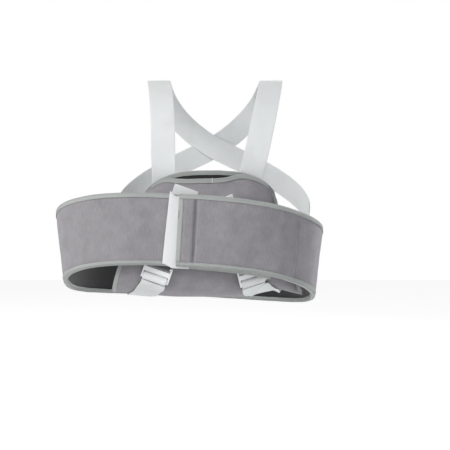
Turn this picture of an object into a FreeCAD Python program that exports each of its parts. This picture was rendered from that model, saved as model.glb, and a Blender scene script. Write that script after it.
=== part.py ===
import FreeCAD, Part
import math
import os

Vec = FreeCAD.Vector

# An arm sling with a pouch for the forearm, a wide padded swathe round the body and
# two shoulder straps.  Millimetres.  +Z is up, the wearer faces -Y and the origin is
# the middle of the wearer's torso, where the swathe goes round it.

# Swathe: the plan outline of its outer face is an oval with a reach of its own to each
# side of its centre; the squareness is the exponent of that quarter of the oval.
SWATHE_CENTRE = (-45.0, -60.0)
LEFT_REACH = 204.0
RIGHT_REACH = 222.5
FRONT_REACH = 145.0
BACK_REACH = 185.0
FRONT_LEFT_SQUARENESS = 2.9
FRONT_RIGHT_SQUARENESS = 2.4
BACK_SQUARENESS = 2.3
SWATHE_HEIGHT = 108.0
SWATHE_BACK_Z = -20.0
SWATHE_FRONT_RISE = 62.0
SWATHE_RISE_POWER = 2.2
SWATHE_ROLL = 0.045
SWATHE_LEAN = 0.058
LAMINATE = 5.8
LINING = 0.9
SKIN_GAP = 0.08
PAD = LAMINATE + SKIN_GAP + LINING

# Front closure: the swathe's inner end dips under the flap, and the flap rides over it.
INNER_DIP = 4.5
FLAP_RISE = 5.0
DIP_START_X = -134.0
DIP_END_X = -82.0
RISE_START_X = 134.0
RISE_END_X = 106.0
INNER_END_X = 100.0
INNER_END_DROP = 3.5
HINGE_X = 136.0
HINGE_GAP_ANGLE = 0.12
FLAP_END_X = -51.0
FLAP_END_LEAN = 3.2
HOOK_START_X = -69.8
HOOK_END_X = -30.0
HOOK_LEAN = 6.7
HOOK_THICKNESS = 0.9
HOOK_DROP = 3.8
HOOK_CORNER_LIFT = 6.4
HOOK_CORNER_WIDTH = 15.0
HOOK_TOP_RISE = 3.8

# Binding tape: a channel folded over an edge.
BINDING_WIDTH = 6.5
BINDING_PROUD = 0.7
BINDING_GAP = 0.06

# Pouch: two panels whose front view is an arch on a slanted base.
POUCH_BOTTOM_Z = -60.5
POUCH_CORNER_Z = 88.0
POUCH_TOP_Z = 136.0
POUCH_LEFT_TOP_X = -112.0
POUCH_LEFT_BOTTOM_X = -163.0
POUCH_RIGHT_TOP_X = 104.0
POUCH_RIGHT_BOTTOM_X = 147.0
POUCH_ARCH_POWER = 2.7
POUCH_BACK_Y = -112.0
POUCH_BACK_CURVE = 0.0012
POUCH_TOP_FORWARD = 24.0
POUCH_INSET = 24.0
POUCH_PANEL = 3.6
POUCH_LINING = 0.85
POUCH_WALL = POUCH_PANEL + SKIN_GAP + POUCH_LINING
PANEL_GAP = 0.25
POUCH_BULGE_START_Z = -12.0
POUCH_BULGE_END_SHARE = 0.70
MOUTH_GAP = 8.0
MOUTH_END_GAP = 2.4
MOUTH_DIP = 12.0
MOUTH_DIP_X = -14.0
MOUTH_DIP_HALF_WIDTH = 50.0
STRAP_LIFT = 12.0
STRAP_LIFT_X = 98.0
STRAP_LIFT_HALF_WIDTH = 34.0
ELBOW_LIFT = 6.0

# Webbing and its adjusters.
WEB_WIDTH = 38.0
WEB = 1.4
BUCKLE_HALF_WIDTH = 22.0
RAIL_WIDTH = 2.6
BAR_HALF_THICKNESS = 1.3
TOP_BAR_RADIUS = 1.7
TOOTHED_BAR = (-13.5, -5.5)
LOWER_BAR = (-24.0, -17.2)
TOOTH_COUNT = 9
TOOTH_DEPTH = 1.0
CHAPE_WIDTH = 34.5
CHAPE_WALL = 1.2
CHAPE_CLEARANCE = 0.4
CHAPE_LENGTH = 22.0
BUCKLE_LEAN = 12.0
STRAP_START = (4.9, -4.0)
TAIL_START = (3.0, -4.4)
STRAP_TURN = 4.0
RIBBON_STEP = 7.0
STRAP_LIFT_OFF = 1.6
STRAP_LANDING_OFF = 2.8
STRAP_FOLD_OFF = 2.0
TAPE_EASE = 0.7
LANDING_HEIGHTS = (136.0, 120.0, 104.0)
LEFT_FRONT_RUN = (0.48, 0.36, 0.22, 0.08)
RIGHT_FRONT_RUN = (0.36, 0.22, 0.08)
REAR_RUN = (-34.0, -14.0)
LEFT_SLANT = -20.0
RIGHT_SLANT = 33.0
TORSO_HALF_WIDTH = 160.0
TORSO_HALF_DEPTH = 114.0
STRAP_SIDE_ANGLES = (-30.0, -12.0, 10.0, 32.0, 52.0, 71.0, 90.0)
STRAP_SIDE_Z = 24.0
STRAP_CROSSING_Z = 188.0
LEFT_CROSSING_Y = 115.5
RIGHT_CROSSING_Y = 120.5
LEFT_BUCKLE = Vec(-79.7, -187.4, -10.0)
LEFT_BUCKLE_TURN = 19.5
LEFT_PLAN_TURN = 0.0
RIGHT_BUCKLE = Vec(58.6, -176.8, -14.7)
RIGHT_BUCKLE_TURN = -17.0
RIGHT_PLAN_TURN = 13.0
LEFT_TAIL_LENGTH = 122.0
RIGHT_TAIL_LENGTH = 112.0
LEFT_TAIL_TURN = 19.5
RIGHT_TAIL_TURN = -23.0
RIGHT_TAIL_PLAN_TURN = 10.5

# Upper run of each shoulder strap after the crossing: x out from the middle, y, z and the
# way its face looks (y, z), over the shoulder and down to the pouch.
LEFT_OVER = [
    (47.0, 107.0, 222.0, 1.0, 0.25),
    (74.0, 84.0, 254.0, 0.9, 0.6),
    (86.0, 50.0, 278.0, 0.5, 1.0),
    (89.0, 8.0, 290.0, 0.1, 1.0),
    (87.0, -35.0, 285.0, -0.35, 1.0),
    (83.0, -72.0, 264.0, -0.8, 0.8),
    (79.5, -99.0, 233.0, -1.0, 0.45),
    (77.5, -115.0, 200.0, -1.0, 0.2),
    (76.8, -123.0, 168.0, -1.0, 0.1),
]
LEFT_LANDING = (76.3, 76.1, 76.0)
RIGHT_OVER = [
    (47.0, 107.0, 222.0, 1.0, 0.25),
    (76.0, 84.0, 254.0, 0.9, 0.6),
    (90.0, 50.0, 278.0, 0.5, 1.0),
    (96.0, 8.0, 290.0, 0.1, 1.0),
    (95.0, -35.0, 285.0, -0.35, 1.0),
    (90.5, -72.0, 264.0, -0.8, 0.8),
    (84.0, -99.0, 233.0, -1.0, 0.45),
    (77.0, -115.0, 200.0, -1.0, 0.2),
    (70.0, -124.0, 168.0, -1.0, 0.1),
]
RIGHT_LANDING = (63.0, 59.5, 56.0)

SLAB_CAP = [(0, 1, 2, 3)]
CHANNEL_CAP = [(0, 1, 6, 7), (1, 2, 5, 6), (2, 3, 4, 5)]


def smooth(share):
    """0 before 0, 1 after 1, and a smooth rise between."""
    t = min(1.0, max(0.0, share))
    return t * t * (3.0 - 2.0 * t)


def spread(start, end, count):
    """count numbers from start to end, evenly spaced."""
    return [start + (end - start) * i / (count - 1) for i in range(count)]


def ruled_face(first, second):
    """The face of straight lines between two curves that share their knots."""
    surface = Part.BSplineSurface()
    surface.buildFromPolesMultsKnots(
        [first.getPoles(), second.getPoles()],
        [2, 2],
        first.getMultiplicities(),
        [0.0, 1.0],
        first.getKnots(),
        False,
        False,
        1,
        first.Degree,
    )
    return surface.toShape()


def sweep(sections, cap):
    """A closed solid through planar sections with the same number of corners."""
    corners = len(sections[0])
    parameters = [0.0]
    for before, after in zip(sections, sections[1:]):
        step = sum((b - a).Length for a, b in zip(before, after)) / corners
        parameters.append(parameters[-1] + step)
    rails = []
    for k in range(corners):
        curve = Part.BSplineCurve()
        curve.interpolate(Points=[section[k] for section in sections], Parameters=parameters)
        rails.append(curve)
    faces = [ruled_face(rails[k], rails[(k + 1) % corners]) for k in range(corners)]
    for section in (sections[0], sections[-1]):
        for a, b, c, d in cap:
            for triangle in ((a, b, c), (a, c, d)):
                loop = [section[i] for i in triangle]
                faces.append(Part.Face(Part.makePolygon(loop + [loop[0]])))
    shell = Part.Shell(faces)
    shell.sewShape()
    solid = Part.Solid(shell)
    if solid.Volume < 0:
        solid.reverse()
    return solid


# ---------------------------------------------------------------- swathe

def oval(angle, inset=0.0):
    """A point of the swathe's plan outline; -90 degrees is the front, 0 the wearer's left."""
    across = math.cos(math.radians(angle))
    along = math.sin(math.radians(angle))
    reach_x = (LEFT_REACH if across < 0 else RIGHT_REACH) - inset
    reach_y = (FRONT_REACH if along < 0 else BACK_REACH) - inset
    power = BACK_SQUARENESS
    if along < 0:
        power = FRONT_LEFT_SQUARENESS if across < 0 else FRONT_RIGHT_SQUARENESS
    radius = (abs(across / reach_x) ** power + abs(along / reach_y) ** power) ** (-1.0 / power)
    return SWATHE_CENTRE[0] + radius * across, SWATHE_CENTRE[1] + radius * along


def oval_front_y(x, inset):
    """How far forward the plan outline lies at x."""
    dx = x - SWATHE_CENTRE[0]
    reach = (LEFT_REACH if dx < 0 else RIGHT_REACH) - inset
    power = FRONT_LEFT_SQUARENESS if dx < 0 else FRONT_RIGHT_SQUARENESS
    share = max(0.0, 1.0 - abs(dx / reach) ** power)
    return SWATHE_CENTRE[1] - (FRONT_REACH - inset) * share ** (1.0 / power)


def front_angle(x):
    """The angle at which the plan outline's front passes x."""
    y = oval_front_y(x, 0.0)
    return math.degrees(math.atan2(y - SWATHE_CENTRE[1], x - SWATHE_CENTRE[0]))


def swathe_middle_z(x, y):
    """The height of the swathe's middle line: high in front over the forearm."""
    share = max(0.0, (SWATHE_CENTRE[1] + BACK_REACH - y) / (FRONT_REACH + BACK_REACH))
    return SWATHE_BACK_Z + SWATHE_FRONT_RISE * share ** SWATHE_RISE_POWER - SWATHE_ROLL * x


def swathe_point(angle, height, out):
    """A point at a height above the middle line and a distance out from the outline."""
    x, y = oval(angle)
    ahead = oval(angle + 0.2)
    behind = oval(angle - 0.2)
    tangent = Vec(ahead[0] - behind[0], ahead[1] - behind[1], 0).normalize()
    outward = Vec(tangent.y, -tangent.x, 0)
    lean = 1.0 - SWATHE_LEAN * (0.5 - height / SWATHE_HEIGHT)
    base = Vec(SWATHE_CENTRE[0] + (x - SWATHE_CENTRE[0]) * lean, y, swathe_middle_z(x, y) + height)
    return base + outward * out


def slab_section(point, low, high, outer, inner):
    """Four corners: point(height, out) at two heights and two distances out."""
    return [point(low, outer), point(high, outer), point(high, inner), point(low, inner)]


def channel_section(point, edge, direction, outer, inner):
    """Eight corners of a tape folded over an edge; direction is +1 where the edge faces up."""
    root = edge - direction * BINDING_WIDTH
    tip = edge + direction * BINDING_PROUD
    fold = edge + direction * BINDING_GAP
    return [
        point(root, outer + BINDING_PROUD),
        point(tip, outer + BINDING_PROUD),
        point(tip, inner - BINDING_PROUD),
        point(root, inner - BINDING_PROUD),
        point(root, inner - BINDING_GAP),
        point(fold, inner - BINDING_GAP),
        point(fold, outer + BINDING_GAP),
        point(root, outer + BINDING_GAP),
    ]


def root_out(angle):
    """How far the root strip lies out from the outline: it dips under the flap."""
    if angle < 180.0:
        return 0.0
    start = front_angle(DIP_START_X) % 360
    end = front_angle(DIP_END_X) % 360
    return -INNER_DIP * smooth((angle - start) / (end - start))


def flap_out(angle):
    """How far the flap lies out from the outline."""
    start = front_angle(RISE_START_X)
    end = front_angle(RISE_END_X)
    return FLAP_RISE * smooth((start - angle) / (start - end))


def root_drop(angle):
    """The inner end hangs a little lower than the flap that covers it."""
    start = front_angle(DIP_END_X) % 360
    end = front_angle(0.0) % 360
    return INNER_END_DROP * smooth((angle - start) / (end - start))


def root_point(angle):
    return lambda height, out: swathe_point(angle, height - root_drop(angle), root_out(angle) + out)


def flap_point(angle):
    return lambda height, out: swathe_point(angle, height, flap_out(angle) + out)


HALF = SWATHE_HEIGHT / 2
HINGE_ANGLE = front_angle(HINGE_X)
ROOT_START = HINGE_ANGLE + HINGE_GAP_ANGLE
ROOT_END = front_angle(INNER_END_X) % 360
FLAP_START = HINGE_ANGLE - HINGE_GAP_ANGLE


def strip(angles, point, low, high, outer, inner):
    sections = [slab_section(point(angle), low, high, outer, inner) for angle in angles]
    return sweep(sections, SLAB_CAP)


def edge_binding(angles, point, direction):
    sections = [channel_section(point(a), direction * HALF, direction, 0.0, -PAD) for a in angles]
    return sweep(sections, CHANNEL_CAP)


def end_binding(point_at, end, inward, lean=0.0):
    """A tape folded over a strip's end; point_at(shift, height, out) moves along the strip."""
    sections = []
    reach = HALF - BINDING_WIDTH - 2 * BINDING_GAP
    for height in spread(-reach, reach, 5):
        along = end + lean * height / HALF
        tape = []
        for step, out in (
            (BINDING_WIDTH, BINDING_PROUD),
            (-BINDING_PROUD, BINDING_PROUD),
            (-BINDING_PROUD, -PAD - BINDING_PROUD),
            (BINDING_WIDTH, -PAD - BINDING_PROUD),
            (BINDING_WIDTH, -PAD - BINDING_GAP),
            (-BINDING_GAP, -PAD - BINDING_GAP),
            (-BINDING_GAP, BINDING_GAP),
            (BINDING_WIDTH, BINDING_GAP),
        ):
            tape.append(point_at(along + inward * step, height, out))
        sections.append(tape)
    return sweep(sections, CHANNEL_CAP)


def root_at_x(x, height, out):
    return root_point(front_angle(x) % 360)(height, out)


def flap_at_x(x, height, out):
    return flap_point(front_angle(x))(height, out)


def flap_sections(low, high, outer, inner, end_x):
    """The flap's end is cut at a slant, so its last sections turn to follow the cut."""
    sections = []
    for angle in spread(FLAP_START, front_angle(end_x), 25):
        x = oval(angle)[0]
        share = smooth((40.0 - x) / (40.0 - end_x))
        shift = FLAP_END_LEAN * share
        corners = []
        for height, out in ((low, outer), (high, outer), (high, inner), (low, inner)):
            corners.append(flap_at_x(x + shift * height / HALF, height, out))
        sections.append(corners)
    return sections


def hook_strip():
    """The hook tape sewn behind the flap's end; its free lower corner is turned up."""
    sections = []
    for x in spread(HOOK_START_X, HOOK_END_X, 9):
        corner = 1.0 - smooth((x - HOOK_START_X) / HOOK_CORNER_WIDTH)
        low = -HALF - HOOK_DROP + HOOK_CORNER_LIFT * corner
        high = HALF - BINDING_WIDTH / 2 + (HOOK_TOP_RISE + BINDING_WIDTH / 2) * corner
        lean = HOOK_LEAN + (FLAP_END_LEAN - HOOK_LEAN) * (1.0 - corner)
        top = -PAD - BINDING_PROUD - BINDING_GAP
        corners = []
        under = top - HOOK_THICKNESS
        for height, out in ((low, top), (high, top), (high, under), (low, under)):
            corners.append(flap_at_x(x + lean * height / HALF, height, out))
        sections.append(corners)
    return sweep(sections, SLAB_CAP)


def swathe_nodes():
    angles = spread(ROOT_START, ROOT_END, 91)
    flap_angles = spread(FLAP_START, front_angle(FLAP_END_X), 25)
    return {
        "swathe_body": strip(angles, root_point, -HALF, HALF, 0.0, -LAMINATE),
        "swathe_lining": strip(angles, root_point, -HALF, HALF, -LAMINATE - SKIN_GAP, -PAD),
        "swathe_top_binding": edge_binding(angles, root_point, 1),
        "swathe_bottom_binding": edge_binding(angles, root_point, -1),
        "swathe_inner_end_binding": end_binding(root_at_x, INNER_END_X, -1),
        "flap_panel": sweep(flap_sections(-HALF, HALF, 0.0, -LAMINATE, FLAP_END_X), SLAB_CAP),
        "flap_lining": sweep(
            flap_sections(-HALF, HALF, -LAMINATE - SKIN_GAP, -PAD, FLAP_END_X), SLAB_CAP
        ),
        "flap_top_binding": edge_binding(flap_angles, flap_point, 1),
        "flap_bottom_binding": edge_binding(flap_angles, flap_point, -1),
        "flap_end_binding": end_binding(flap_at_x, FLAP_END_X, 1, FLAP_END_LEAN),
        "flap_hook_strip": hook_strip(),
    }


# ---------------------------------------------------------------- pouch

def pouch_bottom_z(x):
    """The bottom fold: lifted a little by the elbow and by the strap that wraps it."""
    elbow = ELBOW_LIFT * smooth((-50.0 - x) / 100.0)
    strap = STRAP_LIFT * math.exp(-(((x - STRAP_LIFT_X) / STRAP_LIFT_HALF_WIDTH) ** 2))
    return POUCH_BOTTOM_Z + elbow + strap


def pouch_x(share, z):
    """x of the slanted line that stands at a share of the pouch's width."""
    rise = (z - POUCH_BOTTOM_Z) / (POUCH_CORNER_Z - POUCH_BOTTOM_Z)
    left = POUCH_LEFT_BOTTOM_X + (POUCH_LEFT_TOP_X - POUCH_LEFT_BOTTOM_X) * rise
    right = POUCH_RIGHT_BOTTOM_X + (POUCH_RIGHT_TOP_X - POUCH_RIGHT_BOTTOM_X) * rise
    return left + (right - left) * share


def back_top_z(share):
    """The back panel's top edge is an arch."""
    across = abs(2.0 * share - 1.0)
    arch = max(0.0, 1.0 - across ** POUCH_ARCH_POWER) ** (1.0 / POUCH_ARCH_POWER)
    return POUCH_CORNER_Z + (POUCH_TOP_Z - POUCH_CORNER_Z) * arch


def front_top_z(share):
    """The front panel's mouth edge sags below the back panel's."""
    top = back_top_z(share)
    x = pouch_x(share, top)
    sag = MOUTH_DIP * math.exp(-(((x - MOUTH_DIP_X) / MOUTH_DIP_HALF_WIDTH) ** 4))
    return top - 1.0 - sag


def pouch_back_y(x, z):
    """The pouch's torso side: it follows the torso and comes forward to the chest."""
    share = max(0.0, (z - POUCH_BOTTOM_Z) / (POUCH_TOP_Z - POUCH_BOTTOM_Z))
    return POUCH_BACK_Y + POUCH_BACK_CURVE * x * x - POUCH_TOP_FORWARD * share ** 2


def pouch_cavity(x, z, share):
    """The greatest depth of the hollow between the panels at x and z."""
    front = oval_front_y(x, POUCH_INSET)
    whole = max(0.0, pouch_back_y(x, z) - 2 * POUCH_WALL - front)
    closing = max(0.0, 1.0 - share ** 5) ** 0.7
    return whole * closing


def pouch_bulge(turn, cavity, x):
    """The bulge at a point of the profile: 0 at the fold, 1 over the arm, small at the mouth."""
    open_share = math.exp(-(((x - MOUTH_DIP_X) / MOUTH_DIP_HALF_WIDTH) ** 4))
    gap = MOUTH_END_GAP + (MOUTH_GAP - MOUTH_END_GAP) * open_share
    least = min(1.0, gap / max(cavity, gap))
    if turn <= 1.0:
        return math.sin(math.radians(90.0 * turn))
    if turn <= 2.0:
        return 1.0
    fall = turn - 2.0
    return least + (1.0 - least) * (0.5 + 0.5 * math.cos(math.pi * fall)) ** 1.1


def pouch_front_point(share, turn, depth):
    """A point of the front panel, depth below its outer face.  turn runs 0 to 1 round the
    bottom, 1 to 2 up the front and 2 to 3 to the mouth."""
    bottom = pouch_bottom_z(pouch_x(share, POUCH_BOTTOM_Z)) + depth
    top = front_top_z(share)
    rounding = POUCH_BULGE_START_Z
    knee = rounding + (top - rounding) * POUCH_BULGE_END_SHARE
    if turn <= 1.0:
        z = rounding - (rounding - bottom) * math.cos(math.radians(90.0 * turn))
    elif turn <= 2.0:
        z = rounding + (knee - rounding) * (turn - 1.0)
    else:
        z = knee + (top - knee) * (turn - 2.0)
    x = pouch_x(share, z)
    cavity = pouch_cavity(x, z, share)
    bulge = pouch_bulge(turn, cavity, x)
    wall = (POUCH_WALL - depth) * (bulge if turn <= 1.0 else 1.0)
    y = pouch_back_y(x, z) - POUCH_WALL - PANEL_GAP - bulge * cavity - wall
    return Vec(x, y, z)


def back_panel_point(share, height, depth):
    """A point of the back panel, depth forward of its torso side, at a share of its height."""
    bottom = pouch_bottom_z(pouch_x(share, POUCH_BOTTOM_Z))
    z = bottom + (back_top_z(share) - bottom) * height
    x = pouch_x(share, z)
    return Vec(x, pouch_back_y(x, z) - depth, z)


def band(count):
    """The cap of a section that is a band of count points out and count points back."""
    last = 2 * count - 1
    return [(k, k + 1, last - k - 1, last - k) for k in range(count - 1)]


def pouch_shares(start=0.0, end=1.0, count=25):
    """Shares of the pouch's width, closer together towards both ends."""
    return [start + (end - start) * (0.5 - 0.5 * math.cos(math.pi * i / (count - 1))) for i in range(count)]


FRONT_TURNS = spread(0.0, 1.0, 10) + spread(1.25, 1.75, 3) + spread(2.0, 3.0, 10)
BACK_HEIGHTS = spread(0.0, 1.0, 11)
EDGE_SHARE = 0.012


def pouch_panel(point, steps, outer, inner):
    sections = []
    for share in pouch_shares(EDGE_SHARE, 1.0 - EDGE_SHARE):
        out = [point(share, step, outer) for step in steps]
        back = [point(share, step, inner) for step in reversed(steps)]
        sections.append(out + back)
    return sweep(sections, band(len(steps)))


def mouth_binding(top, face, wall, shares, ease=0.0):
    """A tape over a mouth edge: face gives the panel's points, ease is the tape's extra room."""
    sections = []
    for share in shares:
        edge = top(share)
        corners = []
        for height, depth in (
            (-BINDING_WIDTH, -ease / 2 - BINDING_PROUD),
            (BINDING_PROUD, -ease / 2 - BINDING_PROUD),
            (BINDING_PROUD, wall + ease + BINDING_PROUD),
            (-BINDING_WIDTH, wall + ease + BINDING_PROUD),
            (-BINDING_WIDTH, wall + ease + BINDING_GAP),
            (BINDING_GAP, wall + ease + BINDING_GAP),
            (BINDING_GAP, -ease / 2 - BINDING_GAP),
            (-BINDING_WIDTH, -ease / 2 - BINDING_GAP),
        ):
            corners.append(face(share, edge + height, depth))
        sections.append(corners)
    return sweep(sections, CHANNEL_CAP)


def front_face(share, z, depth):
    """A point on the front panel near its mouth edge, at height z, along the panel's real curve."""
    below = pouch_front_point(share, 3.0, 0.0)
    for turn in spread(2.95, 2.0, 20):
        above = below
        below = pouch_front_point(share, turn, 0.0)
        if below.z <= z:
            break
    slope = (above.y - below.y) / (above.z - below.z)
    return Vec(pouch_x(share, z), below.y + slope * (z - below.z) + depth, z)


def back_face(share, z, depth):
    x = pouch_x(share, z)
    return Vec(x, pouch_back_y(x, z) - POUCH_WALL + depth, z)


def elbow_binding(point, steps, wall):
    """A tape over a panel's elbow end, from bottom to mouth."""
    sections = []
    width = BINDING_WIDTH / (POUCH_RIGHT_BOTTOM_X - POUCH_LEFT_BOTTOM_X)
    proud = BINDING_PROUD / (POUCH_RIGHT_BOTTOM_X - POUCH_LEFT_BOTTOM_X)
    for step in steps:
        corners = []
        for across, depth in (
            (EDGE_SHARE + width, -BINDING_PROUD),
            (EDGE_SHARE - proud, -BINDING_PROUD),
            (EDGE_SHARE - proud, wall + BINDING_PROUD),
            (EDGE_SHARE + width, wall + BINDING_PROUD),
            (EDGE_SHARE + width, wall + BINDING_GAP),
            (EDGE_SHARE - 0.2 * proud, wall + BINDING_GAP),
            (EDGE_SHARE - 0.2 * proud, -BINDING_GAP),
            (EDGE_SHARE + width, -BINDING_GAP),
        ):
            corners.append(point(across, step, depth))
        sections.append(corners)
    return sweep(sections, CHANNEL_CAP)


def hand_end_binding():
    """A tape over both panels where the pouch is sewn shut beyond the hand."""
    sections = []
    width = BINDING_WIDTH / (POUCH_RIGHT_BOTTOM_X - POUCH_LEFT_BOTTOM_X)
    proud = BINDING_PROUD / (POUCH_RIGHT_BOTTOM_X - POUCH_LEFT_BOTTOM_X)
    end = 1.0 - EDGE_SHARE
    for height in spread(0.03, 0.93, 13):
        def at(across, depth, height=height):
            return back_panel_point(across, height, depth)
        inside = at(end - width, 0.0)
        front = 2 * POUCH_WALL + PANEL_GAP + pouch_cavity(inside.x, inside.z, end - width)
        sections.append([
            at(end - width, front + BINDING_PROUD),
            at(end + proud, front + BINDING_PROUD),
            at(end + proud, -BINDING_PROUD),
            at(end - width, -BINDING_PROUD),
            at(end - width, -BINDING_GAP),
            at(end + 0.2 * proud, -BINDING_GAP),
            at(end + 0.2 * proud, front + BINDING_GAP),
            at(end - width, front + BINDING_GAP),
        ])
    return sweep(sections, CHANNEL_CAP)


def bar_tack():
    """The short upright stitch that marks the middle of the mouth."""
    share = 0.5 + 5.0 / (POUCH_RIGHT_TOP_X - POUCH_LEFT_TOP_X)
    top = front_face(share, front_top_z(share) + 1.2, -BINDING_PROUD - 2.2)
    return Part.makeBox(1.4, 0.8, 7.0, Vec(top.x - 0.7, top.y, top.z - 7.0))


def pouch_nodes():
    shares = pouch_shares(2 * EDGE_SHARE + 0.02, 1.0 - 2 * EDGE_SHARE - 0.02, 25)
    lining_start = POUCH_PANEL + SKIN_GAP
    elbow_wall = POUCH_WALL + TAPE_EASE
    return {
        "pouch_front_panel": pouch_panel(pouch_front_point, FRONT_TURNS, 0.0, POUCH_PANEL),
        "pouch_front_lining": pouch_panel(pouch_front_point, FRONT_TURNS, lining_start, POUCH_WALL),
        "pouch_back_panel": pouch_panel(back_panel_point, BACK_HEIGHTS, 0.0, POUCH_PANEL),
        "pouch_back_lining": pouch_panel(back_panel_point, BACK_HEIGHTS, lining_start, POUCH_WALL),
        "front_mouth_binding": mouth_binding(front_top_z, front_face, POUCH_WALL, shares, TAPE_EASE),
        "back_mouth_binding": mouth_binding(back_top_z, back_face, POUCH_WALL, shares),
        "front_elbow_binding": elbow_binding(pouch_front_point, spread(0.15, 2.85, 28), elbow_wall),
        "back_elbow_binding": elbow_binding(back_panel_point, spread(0.04, 0.875, 12), POUCH_WALL),
        "hand_end_binding": hand_end_binding(),
        "mouth_bar_tack": bar_tack(),
    }


# ---------------------------------------------------------------- webbing and adjusters

def turned_in_plan(vector, plan_turn):
    p = math.radians(plan_turn)
    x = vector.x * math.cos(p) - vector.y * math.sin(p)
    y = vector.x * math.sin(p) + vector.y * math.cos(p)
    return Vec(x, y, vector.z)


def buckle_axes(turn):
    """Along the bars, up the frame and out from the wearer.  A frame that is turned
    anticlockwise is the one on the wearer's left, where the swathe curves back."""
    a = math.radians(turn)
    lean = math.radians(BUCKLE_LEAN)
    plan_turn = RIGHT_PLAN_TURN if turn < 0 else LEFT_PLAN_TURN
    along = turned_in_plan(Vec(math.cos(a), 0, -math.sin(a)), plan_turn)
    up = Vec(math.sin(a) * math.cos(lean), -math.sin(lean), math.cos(a) * math.cos(lean))
    up = turned_in_plan(up, plan_turn)
    return along, up, along.cross(up)


def place(shape, origin, turn):
    """Moves a shape drawn with X along the bars, Y up the frame and Z out."""
    along, up, out = buckle_axes(turn)
    matrix = FreeCAD.Matrix(
        along.x, up.x, out.x, origin.x,
        along.y, up.y, out.y, origin.y,
        along.z, up.z, out.z, origin.z,
        0, 0, 0, 1,
    )
    shape.Placement = FreeCAD.Placement(matrix)
    return shape


def extrude_profile(points, width):
    """A closed outline in the frame's up and out directions, drawn out along the bars."""
    loop = [Vec(-width / 2, up, out) for up, out in points]
    face = Part.Face(Part.makePolygon(loop + [loop[0]]))
    return face.extrude(Vec(width, 0, 0))


def buckle_frame():
    """A three-bar slider: a round top bar, a toothed middle bar and a lower bar."""
    inside = BUCKLE_HALF_WIDTH - RAIL_WIDTH
    rail_top = TOP_BAR_RADIUS + 0.4
    rail_length = rail_top - LOWER_BAR[0]
    rails = []
    for side in (-1, 1):
        corner = Vec(-BUCKLE_HALF_WIDTH if side < 0 else inside, LOWER_BAR[0], -BAR_HALF_THICKNESS)
        rail = Part.makeBox(RAIL_WIDTH, rail_length, 2 * BAR_HALF_THICKNESS, corner)
        long_edges = [e for e in rail.Edges if abs(e.tangentAt(e.FirstParameter).y) > 0.9]
        rails.append(rail.makeFillet(0.8, long_edges))
    top = Part.makeCylinder(TOP_BAR_RADIUS, 2 * inside + 1.0, Vec(-inside - 0.5, 0, 0), Vec(1, 0, 0))
    bars = [top]
    for low, high in (TOOTHED_BAR, LOWER_BAR):
        corner = Vec(-inside - 0.5, low, -BAR_HALF_THICKNESS)
        bar = Part.makeBox(2 * inside + 1.0, high - low, 2 * BAR_HALF_THICKNESS, corner)
        bars.append(bar.makeFillet(0.9, [e for e in bar.Edges if abs(e.tangentAt(e.FirstParameter).x) > 0.9]))
    frame = rails[0].fuse(rails[1:] + bars)
    pitch = 2 * inside / TOOTH_COUNT
    notch_height = TOOTHED_BAR[0] - 0.35 * TOOTH_DEPTH
    for i in range(TOOTH_COUNT):
        foot = Vec(-inside + pitch * (i + 0.5), notch_height, -2 * BAR_HALF_THICKNESS)
        notch = Part.makeCylinder(pitch * 0.32, 4 * BAR_HALF_THICKNESS, foot)
        frame = frame.cut(notch)
    return frame.removeSplitter().Solids[0]


def chape():
    """A grey tab folded round the top bar and sewn behind the swathe's lower edge."""
    hole = TOP_BAR_RADIUS + CHAPE_CLEARANCE
    radius = hole + CHAPE_WALL
    rise = CHAPE_LENGTH
    top = radius - math.tan(math.radians(BUCKLE_LEAN)) * rise
    double = 2 * CHAPE_WALL
    outer = [(0.0, radius), (rise, top), (rise, top - double), (radius + 3.0, radius - double - 1.0)]
    outer += [(radius, -1.0)]
    for angle in spread(-55.0, -180.0, 8):
        a = math.radians(angle)
        outer.append((radius * math.cos(a), radius * math.sin(a)))
    for angle in spread(180.0, 95.0, 6)[1:]:
        a = math.radians(angle)
        outer.append((radius * math.cos(a), radius * math.sin(a)))
    solid = extrude_profile(outer, CHAPE_WIDTH)
    bar = Part.makeCylinder(hole, CHAPE_WIDTH + 2, Vec(-CHAPE_WIDTH / 2 - 1, 0, 0), Vec(1, 0, 0))
    return solid.cut(bar).Solids[0]


def ribbon_profile(path, thickness):
    """The outline of a strip whose middle follows a path of (up, out) points."""
    left = []
    right = []
    for i, (u, n) in enumerate(path):
        before = path[max(0, i - 1)]
        after = path[min(len(path) - 1, i + 1)]
        du = after[0] - before[0]
        dn = after[1] - before[1]
        size = math.hypot(du, dn)
        left.append((u - dn / size * thickness / 2, n + du / size * thickness / 2))
        right.append((u + dn / size * thickness / 2, n - du / size * thickness / 2))
    return left + right[::-1]


FRONT_OF_BAR = BAR_HALF_THICKNESS + 0.15 + WEB / 2
LOOP_PATH = [
    (LOWER_BAR[0] - 3.5, -3.0),
    (LOWER_BAR[0] - 1.9, -1.7),
    (LOWER_BAR[0] - 1.2, 0.4),
    (LOWER_BAR[0] - 0.6, 1.8),
    (LOWER_BAR[0] + 0.8, FRONT_OF_BAR + 0.1),
    (LOWER_BAR[1] - 0.6, FRONT_OF_BAR + 0.1),
    (LOWER_BAR[1] + 1.0, 1.3),
    (LOWER_BAR[1] + 1.7, -0.4),
    (TOOTHED_BAR[0] - 0.6, -FRONT_OF_BAR - 0.1),
    (TOOTHED_BAR[0] + 2.0, -FRONT_OF_BAR),
    (TOOTHED_BAR[1], -FRONT_OF_BAR - 0.2),
    (-2.8, -4.1),
    (-1.0, -4.3),
]


def strap_loop():
    """The webbing that goes over the lower bar, through the slot and behind the toothed bar."""
    return extrude_profile(ribbon_profile(LOOP_PATH, WEB), WEB_WIDTH - 0.6)


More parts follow.
